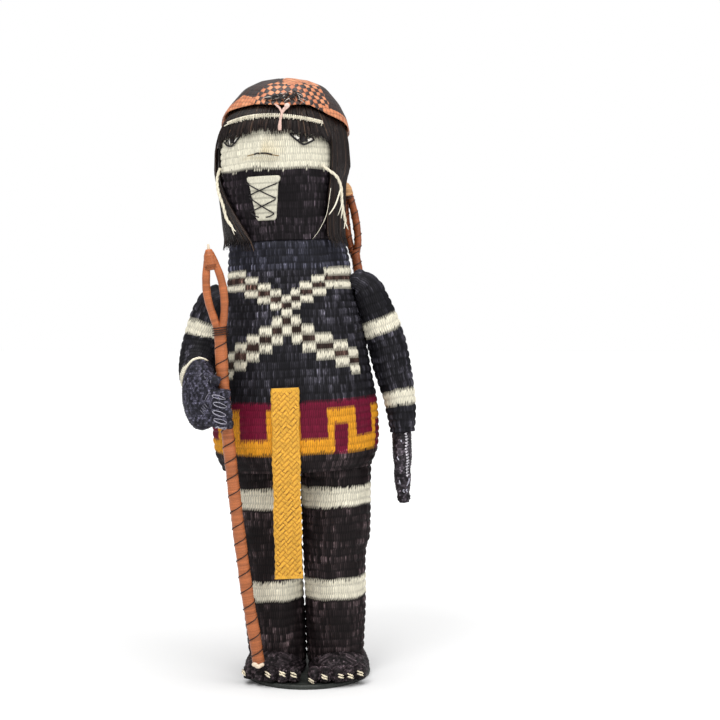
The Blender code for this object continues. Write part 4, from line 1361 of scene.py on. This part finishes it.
def make_staff(material):
    """The wrapped staff in the hand, with knots at its foot and a loop of two strands at its head."""
    shape = Shape()
    path = even_path(STAFF_LINE, 0.42)[6:]
    for middle, half in (
        ((-31.4, -46.6, 17.4), (2.4, 2.2, 1.7)),
        ((-27.6, -46.0, 17.0), (2.2, 2.2, 1.5)),
        ((-29.4, -47.4, 16.2), (2.4, 2.0, 1.4)),
    ):
        shape.add_ball(middle, half, linear(214, 196, 174))
    ring_wound(shape, path, STAFF_RADIUS, 1.7, STAFF_TAN, 3)
    thread_round(shape, path, STAFF_RADIUS + 0.1, 0.004, 0.97, 10.8, 0.42, STAFF_THREAD, 0.6)
    for k, line in enumerate(STAFF_STRANDS):
        ring_wound(shape, even_path(line, 0.4), STRAND_RADIUS, 1.5, STAFF_TAN, 7 + k, 14)
    head = even_path(STAFF_HEAD, 0.4)
    taper = tapering(head, (0, 0.3, 0.7, 1), (0.75, 1, 0.85, 0.45))
    ring_wound(shape, head, 4.3, 1.5, STAFF_TAN, 12, 16, taper)
    add_tip(shape, STAFF_TIP, 0.7, linear(206, 190, 168))
    neck = even_path(((-45.0, -50.0, 235.5), (-45.2, -50.0, 241.5)), 0.4)
    thread_round(shape, neck, 4.9, 0.0, 1.0, 1.5, 0.45, STAFF_THREAD)
    brow = even_path(((-49.0, -50.0, 279.6), (-49.4, -50.0, 282.4)), 0.4)
    thread_round(shape, brow, 4.2, 0.0, 1.0, 1.3, 0.38, linear(120, 66, 36))
    piece("staff_wrapping", shape, material, ["staff"])


def make_back_staff(material):
    """The wrapped staff behind the shoulder, with a loop of two strands under its head."""
    shape = Shape()
    path = even_path(BACK_STAFF_LINE, 0.45)
    ring_wound(shape, path, BACK_STAFF_RADIUS, 2.6, BACK_STAFF_SHADED_TAN, 23)
    thread_round(shape, path, BACK_STAFF_RADIUS + 0.1, 0.0, 1.0, 8.0, 0.35, STAFF_THREAD)
    for k, line in enumerate(BACK_STAFF_STRANDS):
        strand = even_path(line, 0.4)
        ring_wound(shape, strand, STRAND_RADIUS, 2.6, BACK_STAFF_SHADED_TAN, 27 + k, 14)
        thread_round(shape, strand, STRAND_RADIUS + 0.1, 0.05, 0.9, 8.0, 0.3, STAFF_THREAD)
    head = even_path(BACK_STAFF_HEAD, 0.4)
    taper = tapering(head, (0, 0.2, 0.7, 1), (0.9, 1, 0.85, 0.45))
    ring_wound(shape, head, 4.5, 2.2, linear(196, 150, 104), 31, 16, taper)
    neck = even_path(((39.9, 27.4, 325.6), (39.7, 27.5, 328.0)), 0.4)
    thread_round(shape, neck, 4.5, 0.0, 1.0, 1.2, 0.42, STAFF_THREAD)
    add_tip(shape, BACK_STAFF_TIP, 0.8, linear(206, 180, 150))
    piece("back_staff_wrapping", shape, material, ["back_staff"])


def fine_form(node_name, title, tip, posture):
    """A node's solid remeshed finely: its points in figure millimetres, their normals, and its faces.

    tip is a ball, as a centre and a radius, that is joined to the solid first.
    """
    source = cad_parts[node_name]
    mesh = source.data.copy()
    mesh.transform(source.matrix_world)
    if tip is not None:
        centre, radius = tip
        place = Matrix.Translation(Vector(posture @ np.array(centre) * MM))
        bm = bmesh.new()
        bm.from_mesh(mesh)
        bmesh.ops.create_icosphere(bm, subdivisions=3, radius=radius * MM, matrix=place)
        bm.to_mesh(mesh)
        bm.free()
    work = in_scene(f"{title}_form", mesh)
    remesh = work.modifiers.new("even", "REMESH")
    remesh.mode = "VOXEL"
    remesh.voxel_size = 0.00075
    softer = work.modifiers.new("soft", "SMOOTH")
    softer.iterations = 6
    softer.factor = 0.6
    bpy.context.view_layer.update()
    graph = bpy.context.evaluated_depsgraph_get()
    made = bpy.data.meshes.new_from_object(work.evaluated_get(graph))
    bpy.data.objects.remove(work)
    points = np.array([v.co[:] for v in made.vertices]) / MM
    normals = np.array([v.normal[:] for v in made.vertices])
    return points @ posture, normals @ posture, [tuple(p.vertices) for p in made.polygons]


def lay_thread(shape, surface, path, radius, raised, tint):
    """A short thread laid on a surface, which it meets from the front where that is near its own place."""
    laid = []
    for x, y, z in smooth_path(path, 12):
        near, way = from_front(surface, x, z)
        if near is None or abs(near.y - y) > 9:
            near, way, *_ = surface.find_nearest(Vector((x, y, z)))
        laid.append(np.array(near) + np.array(way) * (radius * 0.7 + raised))
    laid = np.array(laid)
    shape.add_tube(laid, radius * tapering(laid, (0, 0.3, 0.7, 1), (0.5, 1, 1, 0.5)), 6, tint)


def crocheted(node_name, title, material, pitch, relief, tint, seed, posture, threads, tip=None, rim=0.0):
    """A hand or a foot: its solid remeshed finely, with rows of crochet knots raised on it.

    threads are laid over it, each given as its path, radius and colour. rim raises the form's upper edge.
    """
    own, ways, faces = fine_form(node_name, title, tip, posture)
    top = own[:, 2].max()
    own[:, 2] += np.interp(own[:, 2], (top - 3, top), (0, rim))
    rng = np.random.default_rng(seed)
    wave = rng.uniform(0, 2 * pi, 6)
    bend = 0.5 * np.sin(own[:, 0] * 0.35 + wave[0]) + 0.5 * np.sin(own[:, 1] * 0.31 + wave[1])
    row = own[:, 2] / pitch + 0.35 * bend
    # Knots run across whichever way the surface faces
    level = abs(ways[:, 2]) > 0.75
    row = np.where(level, own[:, 1] / pitch + 0.35 * bend, row)
    side = np.where(abs(ways[:, 0]) > abs(ways[:, 1]), own[:, 1], own[:, 0]) / (pitch * 0.85)
    side = side + 0.5 * (np.floor(row) % 2) + 0.2 * bend
    knot = np.abs(np.sin(pi * row)) ** 0.7 * (0.45 + 0.55 * np.abs(np.sin(pi * side)) ** 0.8)
    rows, sides = 97, 89
    lot = rng.random((rows, sides))
    chance = lot[np.floor(row).astype(int) % rows, np.floor(side).astype(int) % sides]
    under = ways[:, 2] < -0.8
    lift = np.where(under, 0, 0.3 + relief * (knot - 0.5) * (0.7 + 0.6 * chance))
    colour = np.array(tint)[None] * (0.6 + 0.9 * chance)[:, None]
    fibre = np.stack([0.25 + 0.75 * np.abs(np.sin(pi * side)), 0.2 + 0.8 * knot, chance], -1)
    shape = Shape()
    shape.add(own + ways * lift[:, None], faces, colour, fibre)
    surface = BVHTree.FromPolygons([tuple(p) for p in own], faces)
    for path, radius, shade in threads:
        lay_thread(shape, surface, path, radius, relief * 0.6, shade)
    piece(title, shape, material, [node_name], posture)


# Threads on the gripping hand, as (x, z) places: the middles of its fingers' loops, round which pale ovals
# are painted highlights, and grey strokes on its back
HAND_LOOPS = ((-46.6, 196.4), (-46.0, 191.2), (-46.8, 185.6), (-46.4, 180.4), (-45.8, 175.2))
HAND_STITCHES = (
    ((-59.1, 188.8), (-58.0, 187.2), (-56.8, 185.9)),
    ((-58.3, 190.3), (-57.2, 188.9), (-56.1, 187.7)),
    ((-57.2, 191.4), (-56.3, 190.0), (-55.4, 188.8)),
    ((-56.1, 192.6), (-55.2, 191.2), (-54.4, 190.0)),
    ((-55.8, 194.8), (-54.0, 198.0), (-52.3, 201.1)),
    # The last four strokes are painted highlights near the thumb
    ((-59.1, 210.2), (-58.0, 211.2), (-57.0, 212.1)),
    ((-55.8, 210.4), (-55.3, 209.4), (-54.9, 208.4)),
    ((-53.8, 206.5), (-53.3, 207.2), (-52.8, 207.8)),
    ((-51.2, 207.4), (-51.3, 206.6), (-51.4, 205.8)),
)
WRIST_BAND = (
    (-72.0, -48.0, 206.5),
    (-71.0, -49.0, 213.0),
    (-68.0, -50.0, 219.0),
    (-63.0, -50.0, 222.5),
    (-57.5, -50.0, 222.5),
    (-53.5, -49.0, 220.0),
)
SEAM_END = (
    ((74.9, 133.6), (74.4, 131.0), (73.2, 128.4)),
    ((73.4, 126.6), (72.8, 125.4), (73.2, 124.2)),
    ((71.4, 126.4), (71.0, 125.2), (71.6, 124.0)),
    ((68.8, 132.9), (68.9, 131.2), (69.3, 129.6)),
    ((68.3, 148.6), (68.4, 147.4), (69.0, 146.4)),
    ((71.0, 159.5), (71.0, 158.8), (71.1, 158.0)),
)


def make_hands(material):
    """The gripping hand, with painted highlights over its fingers and grey strokes on its back, and the open
    one with a bright seam.
    """
    pale, grey_stroke_and_glint, cream = linear(164, 162, 174), linear(104, 102, 112), linear(228, 220, 198)
    bright = linear(208, 204, 210)
    marks = []
    # Pale ovals over the fingers: painted highlights
    for x, z in HAND_LOOPS:
        turns = np.radians((20, 80, 140, 200, 260, 320, 380))
        wide, tall = 4.3 * np.cos(turns), 1.25 * np.sin(turns)
        marks.append((tuple((x + w, -64.0, z + t - 0.3 * w) for w, t in zip(wide, tall)), 0.3, pale))
    for line in HAND_STITCHES:
        marks.append((tuple((x, -64.0, z) for x, z in line), 0.32, grey_stroke_and_glint))
    marks.append((WRIST_BAND, 0.95, cream))
    crocheted("right_hand", "right_hand_crochet", material, 1.6, 0.7, linear(36, 35, 43), 91, POSTURE, marks)
    seam = []
    for k in range(15):
        z = 164.0 - k * 2.0
        x = 74.0 + 0.25 * sin(k * 0.9)
        seam.append((((x + 0.9, -16, z), (x - 0.7, -16, z - 0.5), (x + 0.3, -16, z - 1.2)), 0.38, bright))
    for line in SEAM_END:
        seam.append((tuple((x, -18.0, z) for x, z in line), 0.5, pale))
    tip = ((71.2, -4.4, 119.6), 4.4)
    crocheted(
        "left_hand", "left_hand_crochet", material, 1.8, 0.9, linear(40, 36, 40), 92, POSTURE, seam, tip, 0.8
    )


LEFT_NAILS = (
    (5.5, -45.2, 6.4),
    (13.9, -46.9, 8.9),
    (24.0, -45.0, 9.0),
    (30.7, -43.1, 8.6),
    (37.4, -38.3, 9.2),
)
RIGHT_NAILS = (
    (-40.0, -35.8, 9.0),
    (-23.4, -45.4, 9.8),
    (-14.1, -46.6, 10.4),
    (-6.7, -46.3, 9.8),
)


def make_feet(material):
    """The two crocheted feet, with two cream stitches for each toenail."""
    cream = linear(228, 216, 190)
    for name, side, toes in (("left_foot", 1, LEFT_NAILS), ("right_foot", -1, RIGHT_NAILS)):
        nails = []
        for x, y, z in toes:
            for lift in (0.0, 1.3):
                line = (
                    (x - 1.5, y - 3, z + 0.5 - lift),
                    (x, y - 4, z - 0.1 - lift),
                    (x + 1.4, y - 3, z - 0.9 - lift),
                )
                nails.append((line, 0.6, cream))
        crocheted(name, f"{name}_crochet", material, 2.0, 1.1, linear(29, 24, 26), 95 + side, LEVEL, nails)


def mixed_colour(tree, factor, first, second):
    mix = node(tree, "ShaderNodeMix", {"Factor": factor, 6: first, 7: second}, data_type="RGBA")
    return mix.outputs[2]


def plait_material():
    """Palm strips: checks where the piece's tint asks, plain orange or dark elsewhere."""
    material, tree, shader = nodes_of("palm_plait")
    kinds = node(tree, "ShaderNodeSeparateColor", {"Color": read_attribute(tree, "tint", "Color")})
    place = read_attribute(tree, "fibre", "Vector")
    parts = node(tree, "ShaderNodeSeparateXYZ", {"Vector": place})
    # Strips wander a little, so no two checks are quite alike
    wander = node(tree, "ShaderNodeTexNoise", {"Vector": place, "Scale": 0.9, "Detail": 2.0}).outputs["Color"]
    shifts = node(tree, "ShaderNodeSeparateXYZ", {"Vector": wander})
    first, second = (
        maths(tree, "ADD", parts.outputs[k], spread(tree, shifts.outputs[k], 0.3, 0.7, -0.16, 0.16))
        for k in (0, 1)
    )
    cells = node(tree, "ShaderNodeCombineXYZ", {0: first, 1: second, 2: 0.5}).outputs["Vector"]
    check = node(tree, "ShaderNodeTexChecker", {"Vector": cells, "Scale": 1.0}).outputs["Fac"]
    ridge_one, ridge_two = (
        maths(tree, "ABSOLUTE", maths(tree, "SINE", times(tree, strip, pi))) for strip in (first, second)
    )
    puff = maths(tree, "POWER", times(tree, ridge_one, ridge_two), 0.35)
    checked = maths(tree, "GREATER_THAN", kinds.outputs[0], 0.5)
    dark = maths(tree, "GREATER_THAN", kinds.outputs[1], 0.5)
    both = maths(tree, "MAXIMUM", times(tree, check, checked), dark)
    snapped = node(tree, "ShaderNodeVectorMath", {0: cells}, operation="FLOOR").outputs["Vector"]
    lot = node(tree, "ShaderNodeTexWhiteNoise", {"Vector": snapped}).outputs["Value"]
    orange = mixed_colour(tree, lot, (*linear(214, 142, 100), 1), (*linear(186, 108, 70), 1))
    black = mixed_colour(tree, lot, (*linear(52, 28, 20), 1), (*linear(34, 26, 26), 1))
    grain = node(tree, "ShaderNodeTexNoise", {"Scale": 900.0, "Detail": 3.0}).outputs["Fac"]
    # Darker where the strips meet and cross: painted shade between them; grain varies at random
    factor = times(tree, spread(tree, puff, 0.0, 0.85, 0.3, 1.08), spread(tree, grain, 0.3, 0.7, 0.82, 1.15))
    paint(tree, shader, mixed_colour(tree, both, orange, black), factor)
    shader.inputs["Roughness"].default_value = 0.42
    raise_bumps(tree, shader, puff, 0.5, 0.0006)
    return material


def sole_material():
    """A dark woven plate with faint rings."""
    material, tree, shader = nodes_of("sole_weave")
    place = node(tree, "ShaderNodeTexCoord").outputs["Object"]
    grain = node(tree, "ShaderNodeTexNoise", {"Vector": place, "Scale": 800.0, "Detail": 4.0}).outputs["Fac"]
    inputs = {"Vector": place, "Scale": 60.0, "Distortion": 3.0}
    rings = node(tree, "ShaderNodeTexWave", inputs, wave_type="RINGS").outputs["Fac"]
    factor = times(tree, spread(tree, grain, 0.3, 0.7, 0.6, 1.5), spread(tree, rings, 0.0, 1.0, 0.7, 1.2))
    colour = node(tree, "ShaderNodeCombineXYZ", {0: 0.016, 1: 0.019, 2: 0.016}).outputs["Vector"]
    paint(tree, shader, colour, factor)
    shader.inputs["Roughness"].default_value = 0.6
    raise_bumps(tree, shader, factor, 0.4, 0.0004)
    return material


def finish_sole():
    """The sole keeps its solid's own shape."""
    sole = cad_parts["sole"]
    sole.data.materials.clear()
    sole.data.materials.append(sole_material())


def make_floor():
    """The plain pale floor, a little darker round the feet, so that their soft shadow shows."""
    material, tree, shader = nodes_of("pale_floor")
    place = node(tree, "ShaderNodeTexCoord").outputs["Object"]
    away = node(tree, "ShaderNodeVectorMath", {0: place}, operation="LENGTH").outputs["Value"]
    tree.links.new(spread(tree, away, 0.2, 0.6, 0.76, 0.97), shader.inputs["Base Color"])
    shader.inputs["Roughness"].default_value = 0.9
    mesh = bpy.data.meshes.new("floor")
    corners = [(x * FLOOR_REACH, y * FLOOR_REACH, 0) for x, y in ((-1, -1), (1, -1), (1, 1), (-1, 1))]
    mesh.from_pydata(corners, [], [(0, 1, 2, 3)])
    mesh.materials.append(material)
    ground = in_scene("floor", mesh)


def turn_to(obj, place, aim):
    """Puts a lamp or the camera at a place and turns it to another."""
    obj.location = place
    obj.rotation_euler = (Vector(aim) - Vector(place)).to_track_quat("-Z", "Y").to_euler()


def make_lights():
    """White surroundings, two wide lamps in front and a soft sun overhead."""
    world = bpy.data.worlds.new("studio")
    bpy.context.scene.world = world
    world.use_nodes = True
    tree = world.node_tree
    sky = tree.nodes["Background"]
    sky.inputs["Color"].default_value = (1, 1, 1, 1)
    seen = node(tree, "ShaderNodeLightPath").outputs["Is Camera Ray"]
    tree.links.new(spread(tree, seen, 0.0, 1.0, AMBIENT, 1.0), sky.inputs["Strength"])
    bpy.context.scene.view_settings.view_transform = "Standard"
    for name, place, power in (("key", (-0.5, -1.3, 1.6), 13.0), ("fill", (1.3, -1.1, 1.0), 8.0)):
        light = bpy.data.lights.new(name, "AREA")
        light.size = 0.8
        light.energy = power
        turn_to(in_scene(name, light), place, (0, 0, 0.22))
    sun = bpy.data.lights.new("sun", "SUN")
    sun.energy = SUN
    sun.angle = radians(64)
    in_scene("sun", sun).rotation_euler = (radians(8), 0, 0)


def make_camera():
    """The camera, from the photograph's angle."""
    bearing = radians(CAMERA_BEARING)
    place = Vector((sin(bearing) * CAMERA_DISTANCE, -cos(bearing) * CAMERA_DISTANCE, CAMERA_HEIGHT))
    aim = Vector((cos(bearing), sin(bearing), 0)) * CAMERA_AIM_RIGHT + Vector((0, 0, CAMERA_AIM_HEIGHT))
    data = bpy.data.cameras.new("camera")
    data.sensor_width = 36.0
    data.lens = 18.0 / tan(radians(CAMERA_VIEW_ANGLE / 2))
    camera = in_scene("camera", data)
    turn_to(camera, place, aim)
    bpy.context.scene.camera = camera


make_floor()
make_lights()
make_camera()
dark = fibre_material("woven_fibre", 0.5, shade=0.35, groove=0.6, specular=0.1, glints=26.0)
make_body(dark)
make_legs(dark)
make_arm("left_arm", LEFT_ARM_LINE, -3.0, ((6, 8), (16, 18)), 31, dark)
make_arm("right_arm", RIGHT_ARM_LINE, 0.2, ((5, 7), (14, 16)), 32, dark)
cream = fibre_material("cream_fibre", 0.55, shade=0.8, groove=0.7, scale=3000.0, specular=0.35)
strand = fibre_material("hair_fibre", 0.38, shade=0.9, groove=0.9, scale=900.0, stretch=30.0, specular=0.3)
thread = fibre_material("thread", 0.45, shade=0.9, groove=0.9)
knitted = fibre_material("crochet_fibre", 0.5, shade=0.4, specular=0.12, glints=9.0, knot_glint_and_shade_scale=750.0)
braid = fibre_material("braid_fibre", 0.5, shade=0.9, groove=0.6, scale=2200.0, stretch=3.0)
wrap = fibre_material("wrapping_fibre", 0.38, shade=0.8, groove=0.6, scale=1800.0, stretch=0.5)
make_hair(strand)
make_cap(plait_material())
make_tuft(strand)
make_face(thread)
make_panel(cream, thread)
make_fringe_cord(cream)
make_tie(cream)
make_ear_cords(cream)
make_sash(braid)
make_staff(wrap)
make_back_staff(wrap)
make_hands(knitted)
make_feet(knitted)
finish_sole()
